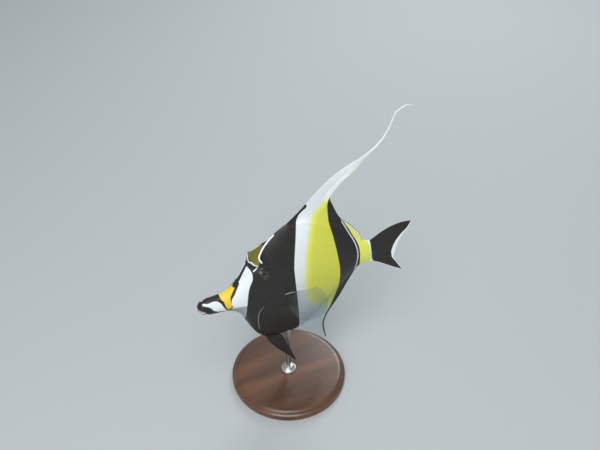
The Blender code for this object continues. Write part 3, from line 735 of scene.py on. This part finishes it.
def skinPoints(x, around):
    rise, side = np.cos(around), np.sin(around)
    middle = widestLine(x)
    z = middle + rise * np.where(rise > 0, topLine(x) - middle, middle - bottomLine(x))
    keen = np.where(rise > 0, backKeen(x), bellyKeen(x))
    wide = halfWidth(x) * np.abs(side) ** keen + (pad(x, z) + gillCover(x, z)) * np.abs(side)
    return np.stack([x, np.copysign(wide, side), z], axis=-1)


def lineDistance(points, line):
    return pathDistance(points, steps(line, tracing["grooveSteps"]))


def fromPlace(points, place, way, deep):
    # distances along and across the flank from a place on it, and which points are near its skin
    along, across, out = localTo(onFlank(*place, way), points).T
    return along, across, (np.sign(points[:, 1]) == way) & (np.abs(out) < deep)


def skinRelief(points):
    # how far the skin stands out from its plain shape, with its lips, folds, sockets and knobs
    length, side = points[:, 0], points[:, [0, 2]]
    lip = lineDistance(side, skinMesh["grooves"]["mouth"][0]) - skinMesh["lipAway"]
    relief = skinMesh["lipHeight"] * hump(lip, skinMesh["lipWide"])
    relief *= 1 - ease(*skinMesh["lipEnds"], length)
    for line, depth, wide in skinMesh["grooves"].values():
        relief -= depth * hump(lineDistance(side, line), wide)
    for line in headLines["arc"][0]:
        fold = skinMesh["foldHeight"] * hump(lineDistance(points, line), skinMesh["foldWide"])
        relief += fold * (1 - ease(*skinMesh["foldEnds"], length))
    for way in (-1, 1):
        along, across, near = fromPlace(points, eye["place"], way, skinMesh["deep"])
        out = np.hypot(along, across)
        depth, radius = eye["socket"]
        swell, swellWide = eye["rimSwell"]
        bowl = depth * np.sqrt(np.clip(1 - (out / radius) ** 2, 0, 1))
        relief += near * (swell * hump(out - eye["rimRadius"], swellWide) - bowl)
        along, across, near = fromPlace(points, skinMesh["browPlace"], way, skinMesh["deep"])
        out = np.hypot(along / skinMesh["browSize"][0], across / skinMesh["browSize"][1])
        relief += near * skinMesh["browHeight"] * (1 - ease(*skinMesh["browEdge"], out))
        for *place, radius in skinMesh["nostrils"]:
            along, across, near = fromPlace(points, place, way, skinMesh["nostrilDeep"])
            out = np.hypot(along, across) / radius
            height, away, wide = skinMesh["nostrilRim"]
            pit = skinMesh["nostrilDepth"] * radius * hump(out**2, 1)
            relief += near * (height * hump(out - away, wide) - pit)
    return relief


def unrolled(obj, rings):
    # for a ball's points: how many rings down from its top, and the angle round it
    ball = readPoints(obj)
    row = np.arccos(np.clip(ball[:, 2], -1, 1)) / math.pi * rings
    return row, np.arctan2(ball[:, 1], ball[:, 0])


def makeSkin():
    stations = stationList()
    rings = len(stations) - 1
    obj = added("fishSkin", bpy.ops.mesh.primitive_uv_sphere_add, segments=skinMesh["segments"],
                ring_count=rings, radius=1)
    row, around = unrolled(obj, rings)
    points = skinPoints(np.interp(row, np.arange(rings + 1), stations), around)
    poles = (row < 0.5) | (row > rings - 0.5)
    points[poles, 1] = 0
    points[poles, 2] = widestLine(points[poles, 0])
    writePoints(obj, points)
    faceOutwards(obj)
    points = points + readNormals(obj) * skinRelief(points)[:, None]
    writeMarks(obj, points)
    writeHeadLines(obj, points)
    writePoints(obj, toPartFrame(points))
    smoothShade(obj, softAngle)
    dress(obj, skinLook, "pale_skin", "snout", "lower_jaw", "head", "trunk", "tail_root")


makeSkin()
print("skin made")


# Eyes
eyePaint = {
    "pupil": (0.002, 0.002, 0.003),
    "iris": (0.020, 0.013, 0.007),
    "irisDark": (0.007, 0.006, 0.005),
    "ring": (0.20, 0.13, 0.04),
    "rim": (0.010, 0.011, 0.013),
}


def makeEyeLook():
    look = Look("eyeBall", {"Roughness": 0.16, "Coat Weight": 0.5, "Coat Roughness": 0.03})
    out = look.attribute("fromPupil")
    place = look.attribute("fishPlace", "Vector")
    fibres = look.noise(place, 1.6, 4.0)
    iris = look.mix(fibres, eyePaint["iris"], eyePaint["irisDark"])
    edge = eye["pupil"]
    ringed = look.smooth(out, edge - 0.08, edge)
    ringed = ringed * look.smooth(out, edge + eye["ring"] + 0.2, edge + 0.1)
    colour = look.mix(look.smooth(out, edge - 0.1, edge + 0.1), eyePaint["pupil"], iris)
    colour = look.mix(ringed * 0.6, colour, eyePaint["ring"])
    look.feed({"Base Color": colour})
    return look


def makeRimLook():
    look = Look("eyeRim", {"Roughness": 0.4, "Coat Weight": 0.2})
    place = look.attribute("fishPlace", "Vector")
    grain = look.noise(place, 2.4, 3.0)
    look.feed({"Base Color": look.mix(grain, eyePaint["rim"], paint["brown"]),
               "Roughness": 0.34 + grain * 0.15})
    look.bump(grain, 0.00015, 0.5)
    return look


def placedAt(placement, points):
    # points in the placement's own axes, moved to where it stands
    turn = np.array(placement)
    return points @ turn[:3, :3].T + turn[:3, 3]


def makeEye(name, side, look, rimLook):
    around, deep = eye["ballSteps"]
    ball = added(name, bpy.ops.mesh.primitive_uv_sphere_add, segments=around, ring_count=deep,
                 radius=1)
    points = readPoints(ball) * np.array(eye["size"])
    out = np.hypot(points[:, 0], points[:, 1])
    height, radius = eye["cornea"]
    points[:, 2] += height * (1 - ease(0, radius, out)) * (points[:, 2] > 0)
    points = placedAt(onFlank(*eye["place"], side, eye["sunk"]), points)
    writePlace(ball, points)
    writeAmount(ball, "fromPupil", out)
    setInPose(ball, points)
    dress(ball, look, "eye", name)

    around, thick = eye["rimSteps"]
    rim = added(name.replace("eye", "eyeRim"), bpy.ops.mesh.primitive_torus_add,
                major_segments=around, minor_segments=thick, major_radius=eye["rimRadius"],
                minor_radius=eye["rimThickness"])
    points = placedAt(onFlank(*eye["place"], side, eye["rimSunk"]), readPoints(rim))
    writePlace(rim, points)
    setInPose(rim, points)
    wear(rim, rimLook)
    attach(rim, "root")


eyeLook, rimLook = makeEyeLook(), makeRimLook()
makeEye("eye_left", -1, eyeLook, rimLook)
makeEye("eye_right", 1, eyeLook, rimLook)
print("eyes made")


# Fins. Each is a sheet of rays: curves from a root to a tip, held by two directions. Its wall
# is given as half thicknesses: at the root of the first ray and of the others, the length over
# which that fades, the membrane's, and the rays' height over it at the root and at the margin.
finPaint = {
    "valley": (0.30, 0.35, 0.37),       # painted shade between the rays, where the fin is white
    "valleyOnYellow": 0.3,
    "roughness": 0.4,
    "coatRoughness": 0.3,
    "relief": 0.00005,                  # metres
    "joints": 220.0,                    # cross joints along a ray, as an angle in radians
    "jointShare": 0.1,
    "whiteEdge": 0.2,                   # softness of the margins, in millimetres to each side
    "darkEdge": 0.12,
}
forkAt = (0.45, 0.65)           # shares of a ray's length over which it forks
closeRays = (0.5, 1.6)          # millimetres between rays; under the first they have no relief
outOfReach = 9.0                # further than any marking is soft


def rayWaves(look):
    # the rays' number, the share of their length, and waves over them: single, then forked
    ray, along = look.attribute("ray"), look.attribute("alongRay")
    single = look.wave("COSINE", ray * (2 * math.pi))
    forked = look.wave("COSINE", ray * (4 * math.pi))
    split = look.smooth(along, *forkAt)
    return ray, along, single * (1 - split) + forked * split


def finLook(name, valleyShade):
    look = Look(name, {
        "Roughness": paint["roughness"], "Coat Weight": paint["coat"],
        "Coat Roughness": finPaint["coatRoughness"], "Specular IOR Level": paint["specular"]})
    _, colour, dark, mottle = paintMarkings(look, finLayers)
    ray, along, waves = rayWaves(look)
    ridge = waves * look.smooth(along, 0.05, 0.35) * look.attribute("raysOpen")
    onYellow = look.smooth(look.attribute("yellow"), 1.5, -1.5)
    # painted shade in the valleys between the rays: weaker over the yellow, none on the black
    shade = (0.5 - ridge * 0.5) * look.smooth(along, 0.08, 0.35)
    shade = shade * (1 - dark) * (1 - onYellow * (1 - finPaint["valleyOnYellow"]))
    colour = look.mix(shade * valleyShade, colour, finPaint["valley"])
    for margin, edge, tint in (("marginWhite", finPaint["whiteEdge"], "white"),
                               ("marginDark", finPaint["darkEdge"], "black")):
        inside = look.smooth(look.attribute(margin), edge, -edge)
        colour = look.mix(inside, colour, paint[tint])
    look.feed({"Base Color": colour, "Roughness": finPaint["roughness"] + mottle * 0.15})
    joints = look.wave("SINE", along * finPaint["joints"]) * finPaint["jointShare"]
    look.bump(ridge * 0.6 + joints * look.smooth(along, 0.3, 0.6), finPaint["relief"], 0.35)
    return look


def inMiddle(x, z):
    # points or directions in the mid-plane
    return np.stack([x, np.zeros_like(x), z], axis=-1)


def slanted(degrees):
    # directions in the mid-plane: degrees above straight back
    return inMiddle(np.cos(np.radians(degrees)), np.sin(np.radians(degrees)))


def raySheet(controls, across, along):
    # points of the sheet at every u across and v along, from four control points a ray
    v = along[None, :, None]
    s = 1 - v
    root, near, far, tip = (c[:, None, :] for c in controls(across))
    return root * s**3 + near * 3 * s * s * v + far * 3 * s * v * v + tip * v**3


def rayRidge(ray, v):
    # height of the rays over the membrane: single near the root, forked towards the margin
    single = np.clip(np.cos(2 * math.pi * ray), 0, 1)
    forked = np.clip(np.cos(4 * math.pi * ray), 0, 1) * 0.8
    split = ease(*forkAt, v)
    return (single * (1 - split) + forked * split) * ease(0.05, 0.3, v) * (1 - 0.7 * ease(0.94, 1, v))


def wallThickness(shape, fromRoot, u, v, ridge):
    # half the fin's thickness; a fin may also have a stout spine along its front edge
    first, others = shape["rootWall"]
    root = first + (others - first) * ease(0, 0.1, u)
    atRoot, atMargin = shape["rayHeight"]
    spine, spineWide = shape.get("spine", (0, 1))
    return (shape["membraneWall"] + root * np.exp(-fromRoot / shape["rootFade"])
            + ridge * (atRoot + (atMargin - atRoot) * v) + spine * (1 - v) * hump(u, spineWide))


def noMargins(u, fromMargin):
    return np.full_like(u, outOfReach), np.full_like(u, outOfReach)


def makeFin(name, shape, controls, margins=noMargins):
    rays, perRay = shape["rays"], shape["perRay"]
    columns, rows = (rays - 1) * perRay + 1, shape["stations"] + 1
    obj = added(name, bpy.ops.mesh.primitive_grid_add, x_subdivisions=columns - 1,
                y_subdivisions=rows - 1, size=2)
    flat = readPoints(obj)
    column = np.rint((flat[:, 0] + 1) / 2 * (columns - 1)).astype(int)
    row = np.rint((flat[:, 1] + 1) / 2 * (rows - 1)).astype(int)
    across, along = np.linspace(0, 1, columns), np.linspace(0, 1, rows)
    ray = across * (rays - 1)
    # between the rays the margin is drawn in a little
    reach = 1 - shape["scallop"] * (0.5 - 0.5 * np.cos(2 * math.pi * ray))
    sheet = np.concatenate([raySheet(controls, across[k:k + 1], along * share)
                            for k, share in enumerate(reach)])
    points = sheet[column, row]
    u, v = across[column], along[row]
    length = np.linalg.norm(np.diff(sheet, axis=1), axis=2).sum(axis=1)[column]
    # where the rays run close together they are shallow, and their stripes of painted shade faint
    apart = np.linalg.norm(np.gradient(sheet, axis=0), axis=2)[column, row] * perRay
    openness = ease(*closeRays, apart)
    white, darkRim = margins(u, (1 - v) * length)
    writeMarks(obj, points)
    for label, values in (("raysOpen", openness), ("ray", ray[column]), ("alongRay", v),
                          ("marginWhite", white), ("marginDark", darkRim)):
        writeAmount(obj, label, values)
    # the sheet gets two walls, which are then set apart by the fin's own thickness
    writePoints(obj, points)
    ridge = rayRidge(ray[column], v) * openness
    out = readNormals(obj) * wallThickness(shape, v * length, u, v, ridge)[:, None]
    wall = obj.modifiers.new("wall", "SOLIDIFY")
    wall.thickness = 1
    bpy.ops.object.modifier_apply(modifier="wall")
    setInPose(obj, np.concatenate([points + out, points - out]))
    return obj


def makePair(name, shape, controls, look, slot, node):
    for side, word in ((-1, "left"), (1, "right")):
        obj = makeFin(name + word.title(), shape, controls(side))
        dress(obj, look, slot, node + "_" + word)


def sunk(x, line, depth, inward):
    # points of the mid-plane under an outline of the flesh, for roots to start from
    slope = line(x + 0.5) - line(x - 0.5)
    away = inMiddle(slope, -np.ones_like(x))
    away *= inward / np.linalg.norm(away, axis=-1, keepdims=True)
    return inMiddle(x, line(x)) + away * depth


def held(root, tip, lift, holdNear, arrive, holdFar):
    # a ray's control points: it leaves its root and comes to its tip at these slants
    length = np.linalg.norm(tip - root, axis=-1, keepdims=True)
    return root, root + slanted(lift) * length * holdNear, tip - slanted(arrive) * length * holdFar, tip


def medianControls(shape, line, inward):
    margin = route(shape["margin"], shape["marks"])
    lift, arrive = spline(shape["lift"]), spline(shape["arrive"])
    holdNear, holdFar = spline(shape["holdNear"]), spline(shape["holdFar"])

    def controls(u):
        start, stop = shape["base"]
        first = 1 - ease(0, 0.12, u)
        x = start + (stop - start) * u - first * shape["ahead"]
        root = sunk(x, line, (shape["sunk"] - first * shape["raised"])[:, None], inward)
        return held(root, inMiddle(*margin(u).T), lift(u), holdNear(u)[:, None], arrive(u),
                    holdFar(u)[:, None])

    return controls


# Sail: its front edge sweeps back into the streamer, its rear runs down to the tail
sail = {
    "base": (74, 141),
    "ahead": 4.0,               # the first rays start further forward, and less deep
    "raised": 2.0,
    "sunk": 2.5,
    "margin": [(141.8, 97.6), (143.7, 94.7), (140.2, 92), (138.2, 88.8), (134.8, 86.1), (130.7, 84),
               (126.2, 81.2), (120.6, 75.8), (115.4, 68.6), (117.7, 60.2), (122.7, 47.2),
               (127.4, 41), (133.6, 33.2), (139.2, 24.2), (141.4, 16.4)],
    "marks": [0, 0.1, 0.16, 0.21, 0.26, 0.31, 0.37, 0.42, 0.47, 0.53, 0.65, 0.72, 0.81, 0.91, 1],
    "lift": [(0, 30), (0.1, 28), (0.3, 40), (0.5, 64), (0.75, 53), (1, 22)],
    "arrive": [(0, 14), (0.1, 10.6), (0.2, 9.2), (0.3, 20.6), (0.38, 29), (0.47, 52), (0.7, 69),
               (1, 31)],
    "holdNear": [(0, 0.42), (0.1, 0.33), (1, 0.3)],
    "holdFar": [(0, 0.42), (0.15, 0.22), (0.3, 0.35), (0.5, 0.31), (1, 0.3)],
    "rays": 42,
    "perRay": 8,
    "stations": 64,
    "scallop": 0,
    "rootWall": (0.4, 2.0),
    "rootFade": 3,
    "membraneWall": 0.2,
    "rayHeight": (0.2, 0.12),
    "valleyShade": 0.35,
    "whiteFrom": (0.63, 0.68),  # the rear of the sail has a white margin with a dark rim
    "whiteTo": (0.965, 1.0),
    "whiteWide": 0.85,
    "darkWide": 0.35,
}


def sailMargins(u, fromMargin):
    # 4 and 3 mm take the margin out of sight where it ends
    ahead = 4 * (1 - ease(*sail["whiteFrom"], u))
    atEnd = 3 * ease(*sail["whiteTo"], u)
    return fromMargin - sail["whiteWide"] + ahead + atEnd, fromMargin - sail["darkWide"] + ahead


def makeSail():
    obj = makeFin("sail", sail, medianControls(sail, topLine, 1), sailMargins)
    dress(obj, finLook("sailSkin", sail["valleyShade"]), "yellow_skin", "dorsal_fin_front",
          "dorsal_fin_rear")


# Anal fin: the lower sail, drawn out to a short point at its front
analFin = {
    "base": (79, 140),
    "ahead": 0,
    "raised": 0,
    "sunk": 2.5,
    "margin": [(103.8, -87.8), (107.6, -86.8), (106.3, -78), (105.8, -70.2), (107.4, -63.4),
               (109.8, -57.8), (113.6, -51.9), (121, -41), (128.8, -26.4), (136.2, -13.2)],
    "marks": [0, 0.05, 0.13, 0.23, 0.33, 0.42, 0.52, 0.7, 0.85, 1],
    "lift": [(0, -9), (0.15, -40), (0.4, -62), (0.75, -50), (1, -25)],
    "arrive": [(0, -62), (0.2, -72), (0.4, -66), (0.7, -55), (1, -25)],
    "holdNear": [(0, 0.4), (0.2, 0.32), (1, 0.3)],
    "holdFar": [(0, 0.48), (0.3, 0.35), (1, 0.3)],
    "rays": 34,
    "perRay": 8,
    "stations": 56,
    "scallop": 0.004,
    "rootWall": (1.9, 1.9),
    "rootFade": 3,
    "membraneWall": 0.2,
    "rayHeight": (0.2, 0.12),
    "valleyShade": 0.15,
}


def makeAnalFin():
    obj = makeFin("analFin", analFin, medianControls(analFin, bottomLine, -1))
    dress(obj, finLook("analFinSkin", analFin["valleyShade"]), "yellow_skin", "anal_fin")


# Tail fin: black, with a white trailing margin that is widest at its middle
tailFin = {
    "margin": [(182.5, 28.2), (180, 21.4), (175.4, 14.2), (171.6, 5.3), (169.6, -3.6),
               (168.8, -9.6), (171.8, -16.2), (176.6, -24.8)],
    "marks": [0, 0.14, 0.3, 0.46, 0.6, 0.72, 0.87, 1],
    "root": (147.4, 12.0, -7.8),        # its x, and the heights of the first and last rays
    "lift": (42, -60),                  # degrees at the first ray, and change to the last
    "arrive": (-6, -34, 18),            # the same, and a change with the square
    "hold": (0.3, 0.35),
    "rays": 17,
    "perRay": 10,
    "stations": 60,
    "scallop": 0.004,
    "rootWall": (1.5, 1.5),
    "rootFade": 4.5,
    "membraneWall": 0.2,
    "rayHeight": (0.26, 0.14),
    "whiteWide": [(0, 0.3), (0.14, 1.0), (0.3, 1.8), (0.46, 2.6), (0.58, 2.9), (0.7, 1.6),
                  (0.8, 0.6), (1, 0.35)],
}


def tailControls(u):
    x, top, low = tailFin["root"]
    root = inMiddle(np.full_like(u, x), top + (low - top) * u)
    tip = inMiddle(*route(tailFin["margin"], tailFin["marks"])(u).T)
    lift, drop = tailFin["lift"]
    arrive, change, bend = tailFin["arrive"]
    near, far = tailFin["hold"]
    return held(root, tip, lift + drop * u, near, arrive + change * u + bend * u * u, far)


def tailMargins(u, fromMargin):
    return fromMargin - spline(tailFin["whiteWide"])(u), np.full_like(u, outOfReach)


def makeTailFin():
    obj = makeFin("tailFin", tailFin, tailControls, tailMargins)
    dress(obj, finLook("tailFinSkin", 0.0), "black_skin", "tail_fin")


# Breast fins: clear fans that stand out from the flanks
breastFin = {
    "rootTop": (67.6, 12.4, -4.2),
    "rootLow": (69.2, 12.4, -13.8),
    "axis": (0.77, 0.64, 0.0),
    "down": (-0.12, 0.0, -1.0),
    "firstAngle": -30,
    "fanAngle": 88,
    "reach": [(0, 31), (0.1, 35), (0.25, 36), (0.5, 33), (0.75, 27), (0.9, 21), (1, 14)],
    "rise": (0.62, 0.78, 1.1),          # how a ray leaves the flank; the upper ones also upwards
    "sweep": (0.25, -0.1, 0),           # added to its heading at the tip
    "hold": (0.3, 0.35),
    "rays": 18,
    "perRay": 8,
    "stations": 48,
    "scallop": 0.01,
    "rootWall": (0.35, 0.35),
    "rootFade": 2.5,
    "membraneWall": 0.08,
    "rayHeight": (0.12, 0.06),
    "membrane": (0.028, 0.04, 0.044),
    "rayColour": (0.30, 0.36, 0.36),
    "firstRayColour": (0.52, 0.54, 0.49),
    "clearness": 0.84,
}


def breastControls(side):
    reach = spline(breastFin["reach"])
    top, low = np.array(breastFin["rootTop"]), np.array(breastFin["rootLow"])
    axis, down = np.array(breastFin["axis"]), np.array(breastFin["down"])
    down = down / np.linalg.norm(down)
    mirror = np.array([1, side, 1])

    def controls(u):
        angle = np.radians(breastFin["firstAngle"] + breastFin["fanAngle"] * u)[:, None]
        heading = axis * np.cos(angle) + down * np.sin(angle)
        heading /= np.linalg.norm(heading, axis=1, keepdims=True)
        root = top * (1 - u[:, None]) + low * u[:, None]
        length = reach(u)[:, None]
        tip = root + heading * length
        back, out, up = breastFin["rise"]
        rise = np.stack([np.full_like(u, back), np.full_like(u, out), up * (1 - u) ** 2], axis=-1)
        swept = heading + np.array(breastFin["sweep"])
        swept /= np.linalg.norm(swept, axis=1, keepdims=True)
        near, far = breastFin["hold"]
        return [part * mirror for part in
                (root, root + rise * length * near, tip - swept * length * far, tip)]

    return controls


def makeBreastLook():
    look = Look("breastFinSkin", {"Roughness": 0.45, "Specular IOR Level": 0.2})
    ray, along, waves = rayWaves(look)
    ridge = look.smooth(waves, 0.1, 0.9) * look.smooth(along, 0.08, 0.35)
    firstRay = look.smooth(ray, 1.1, 0.3) * look.smooth(along, 0.42, 0.2)
    nearRoot = look.smooth(along, 0.16, 0.03)
    pale = ridge * (0.25 + look.smooth(along, 0.25, 0.6) * 0.75)
    colour = look.mix(pale, breastFin["membrane"], breastFin["rayColour"])
    colour = look.mix(firstRay, colour, breastFin["firstRayColour"])
    upper = look.smooth(ray, 15.0, 3.0)
    clear = (1 - ridge * upper * 0.16) * (1 - firstRay * 0.6) * (1 - nearRoot * 0.1)
    look.feed({"Base Color": colour, "Alpha": 1 - clear * breastFin["clearness"]})
    look.bump(ridge, 0.0001, 0.4)
    return look


def makeBreastFins():
    makePair("breastFin", breastFin, breastControls, makeBreastLook(), "pale_skin", "breast_fin")


# Belly fins: long dark blades, a spine with five rays behind it
bellyFin = {
    "tips": [(76.2, 6.6, -97.4), (74.2, 6.2, -90), (71.6, 5.6, -80.5), (68.2, 4.9, -70.5)],
    "rootFrom": (51.6, 2.3, -54.6),
    "rootTo": (62.0, 2.3, -58.8),
    "lift": (-82, 22),                  # degrees at the first ray, and change to the last
    "arrive": (0.5, 0.1, -0.86),
    "holdNear": 0.32,
    "holdFar": (0.32, 0.20),            # at the first and at the last ray
    "rays": 7,
    "perRay": 12,
    "stations": 60,
    "scallop": 0.02,
    "rootWall": (0.9, 0.9),
    "rootFade": 4,
    "membraneWall": 0.2,
    "rayHeight": (0.26, 0.14),
    "spine": (0.3, 0.04),               # height, and width as a share of the fin
}


def bellyControls(side):
    tips = route(bellyFin["tips"])
    first, last = np.array(bellyFin["rootFrom"]), np.array(bellyFin["rootTo"])
    mirror = np.array([1, side, 1])

    def controls(u):
        share = u[:, None]
        root, tip = first + (last - first) * share, tips(u)
        length = np.linalg.norm(tip - root, axis=-1, keepdims=True)
        lift, change = bellyFin["lift"]
        start, stop = bellyFin["holdFar"]
        near = root + slanted(lift + change * u) * length * bellyFin["holdNear"]
        far = tip - np.array(bellyFin["arrive"]) * length * (start + (stop - start) * share)
        return [part * mirror for part in (root, near, far, tip)]

    return controls


def makeBellyFins():
    look = finLook("bellyFinSkin", 0.0)
    makePair("bellyFin", bellyFin, bellyControls, look, "black_skin", "belly_fin")


makeSail()
makeAnalFin()
makeTailFin()
makeBreastFins()
makeBellyFins()
print("fins made")


# Streamer: the whip that the sail's front edge is drawn out to
streamer = {
    "line": [(138.2, 93.9), (142.75, 96.15), (148.4, 99.6), (153.4, 103.2), (159, 108.5),
             (163.4, 114.8), (167.6, 123.6), (170.2, 129.2), (174, 131.4), (179, 133),
             (182.6, 131.6), (185.8, 129.3)],
    "halfWide": [(0, 1.9), (0.07, 2.3), (0.17, 1.5), (0.36, 0.8), (0.63, 0.55), (1, 0.25)],
    "halfDeep": [(0, 0.3), (0.08, 0.42), (0.36, 0.5), (0.73, 0.42), (1, 0.22)],
    "sides": 32,
    "stations": 220,
    "tipRings": 1.5,            # rings over which each end is rounded
    "rays": 2.5,                # waves of rays from one edge to the other
    "rayHeight": 0.16,
    "valleyShade": 0.35,
}


def makeStreamer():
    stations = streamer["stations"]
    obj = added("streamer", bpy.ops.mesh.primitive_uv_sphere_add, segments=streamer["sides"],
                ring_count=stations, radius=1)
    row, around = unrolled(obj, stations)
    t = row / stations
    path = route(streamer["line"])
    middle = path(t)
    ahead = path(np.minimum(t + 0.01, 1)) - path(np.maximum(t - 0.01, 0))
    ahead /= np.linalg.norm(ahead, axis=1, keepdims=True)
    ends = (np.minimum(row, stations - row) / streamer["tipRings"]).clip(0, 1)
    rounded = np.sqrt(1 - (1 - ends) ** 2)
    ray = np.cos(around) * streamer["rays"]
    wide = spline(streamer["halfWide"])(t) * np.cos(around) * rounded
    deep = spline(streamer["halfDeep"])(t) * np.sin(around) * rounded
    deep *= 1 + streamer["rayHeight"] * np.cos(2 * math.pi * ray)
    points = inMiddle(middle[:, 0] - ahead[:, 1] * wide, middle[:, 1] + ahead[:, 0] * wide)
    points[:, 1] = deep
    writeMarks(obj, points)
    writeAmount(obj, "ray", ray)
    for label, value in (("alongRay", 0.3), ("marginWhite", outOfReach), ("marginDark", outOfReach)):
        writeAmount(obj, label, np.full(len(t), value))
    setInPose(obj, points)
    dress(obj, finLook("streamerSkin", streamer["valleyShade"]), "pale_skin", "dorsal_streamer")


makeStreamer()
print("streamer made")


# Stand: a turned wooden base, a steel collar and a steel rod
stand = {
    "profile": [(0, 0), (49.2, 0), (49.85, 0.5), (50, 1.2), (50, 4.6), (49.7, 5.3), (48.9, 5.7),
                (48.3, 6.1), (48.2, 6.6), (47.7, 7.6), (46.6, 8.5), (45.2, 8.95), (43.6, 9), (0, 9)],
    "collar": [(0, 9.05), (6.5, 9.05), (6.6, 9.3), (6.6, 10.1), (6.3, 10.5), (5.2, 10.9),
               (4.3, 11.5), (3.7, 12.4), (3.4, 12.8), (2.6, 13.0), (0, 13.0)],
    "rodRadius": 2.0,
    "rodFoot": 12.6,
    "rodSink": 9.0,
    "rodMeets": 3.2,            # the rod meets the belly this far behind rodPlace
    "rodEdge": 0.5,
    "sides": (128, 64, 48),     # of the base, the collar and the rod
    "sharpAngle": 32,
    "grainTurn": 24,            # degrees
    "grainStretch": (1.0, 9.0, 3.0),
    "poreStretch": (60.0, 2200.0, 700.0),
    "wood": (0.050, 0.021, 0.010),
    "woodLight": (0.15, 0.066, 0.028),
    "woodPore": (0.02, 0.010, 0.006),
    "steel": (0.56, 0.56, 0.55),
}


def turned(name, profile, sides):
    # a lathe-turned piece: the half profile spun round the upright axis, in metres
    obj = added(name, bpy.ops.mesh.primitive_plane_add, size=0.001)
    mesh = obj.data
    mesh.clear_geometry()
    points = [(r / 1000, 0, z / 1000) for r, z in profile]
    mesh.from_pydata(points, [(k, k + 1) for k in range(len(points) - 1)], [])
    bpy.ops.object.mode_set(mode="EDIT")
    bpy.ops.mesh.select_all(action="SELECT")
    bpy.ops.mesh.spin(steps=sides, angle=2 * math.pi, center=(0, 0, 0), axis=(0, 0, 1))
    bpy.ops.mesh.select_all(action="SELECT")
    bpy.ops.mesh.remove_doubles(threshold=0.00001)
    bpy.ops.object.mode_set(mode="OBJECT")
    faceOutwards(obj)
    smoothShade(obj, stand["sharpAngle"])
    return obj


def makeWoodLook():
    look = Look("stainedWood", {"Roughness": 0.3, "Coat Weight": 0.25, "Coat Roughness": 0.15})
    place = look.node("ShaderNodeTexCoord", {}, {}, "Object")
    turn = (0, 0, math.radians(stand["grainTurn"]))
    drawn, pores = (look.node("ShaderNodeMapping", {},
                              {"Vector": place, "Scale": stand[stretch], "Rotation": turn})
                    for stretch in ("grainStretch", "poreStretch"))
    warp = look.noise(drawn, 9.0, 3.0)
    rings = look.node("ShaderNodeTexWave", {"wave_type": "RINGS", "rings_direction": "Y"},
                      {"Vector": drawn, "Scale": 2.2, "Distortion": 9.0, "Detail": 3.0,
                       "Detail Scale": 1.4}, "Fac")
    pore = look.smooth(look.noise(pores, 1.0, 2.0), 0.60, 0.72)
    colour = look.mix(rings * 0.55 + warp * 0.35, stand["wood"], stand["woodLight"])
    colour = look.mix(pore * 0.35, colour, stand["woodPore"])
    look.feed({"Base Color": colour, "Roughness": 0.28 + warp * 0.12 + pore * 0.15})
    look.bump(rings * 0.15 - pore, 0.00012, 0.4)
    return look


def makeSteelLook(name, stretch):
    look = Look(name, {"Base Color": stand["steel"], "Metallic": 1.0})
    place = look.node("ShaderNodeTexCoord", {}, {}, "Object")
    drawn = look.node("ShaderNodeMapping", {}, {"Vector": place, "Scale": stretch})
    brushed = look.noise(drawn, 1.0, 2.0)
    look.feed({"Roughness": 0.24 + brushed * 0.2})
    look.bump(brushed, 0.00004, 0.35)
    return look


def makeStand():
    baseSides, collarSides, rodSides = stand["sides"]
    base = turned("standBase", stand["profile"], baseSides)
    dress(base, makeWoodLook(), "stained_wood", "stand_base")
    steel = makeSteelLook("brushedSteel", (900.0, 900.0, 9000.0))
    collar = turned("standCollar", stand["collar"], collarSides)
    dress(collar, steel, "brushed_steel", "stand_collar")
    belly = np.array([pose["rodPlace"] + stand["rodMeets"], 0, bottomLine(pose["rodPlace"])])
    top = float(toPartFrame(belly)[2]) * 1000 + stand["rodSink"]
    radius, foot, edge = stand["rodRadius"], stand["rodFoot"], stand["rodEdge"]
    rod = turned("standRod", [(0, foot), (radius, foot), (radius, top - edge), (radius - edge, top),
                              (0, top)], rodSides)
    dress(rod, makeSteelLook("drawnSteel", (3000.0, 3000.0, 60.0)), "brushed_steel", "stand_rod")


makeStand()
print("stand made")


# Floor
def makeFloor():
    floor = added("floor", bpy.ops.mesh.primitive_plane_add, size=studio["floorSize"],
                  location=(0, 0, -studio["floorDrop"]))
    look = Look("floorPaper", {"Roughness": 0.9, "Specular IOR Level": 0.2})
    place = look.node("ShaderNodeTexCoord", {}, {}, "Object")
    fibre = look.noise(place, studio["fibreScale"], 2.0)
    look.feed({"Base Color": look.mix(fibre * studio["fibreShare"], studio["floorColour"],
                                      studio["fibreColour"])})
    wear(floor, look)


makeFloor()
print("floor laid")
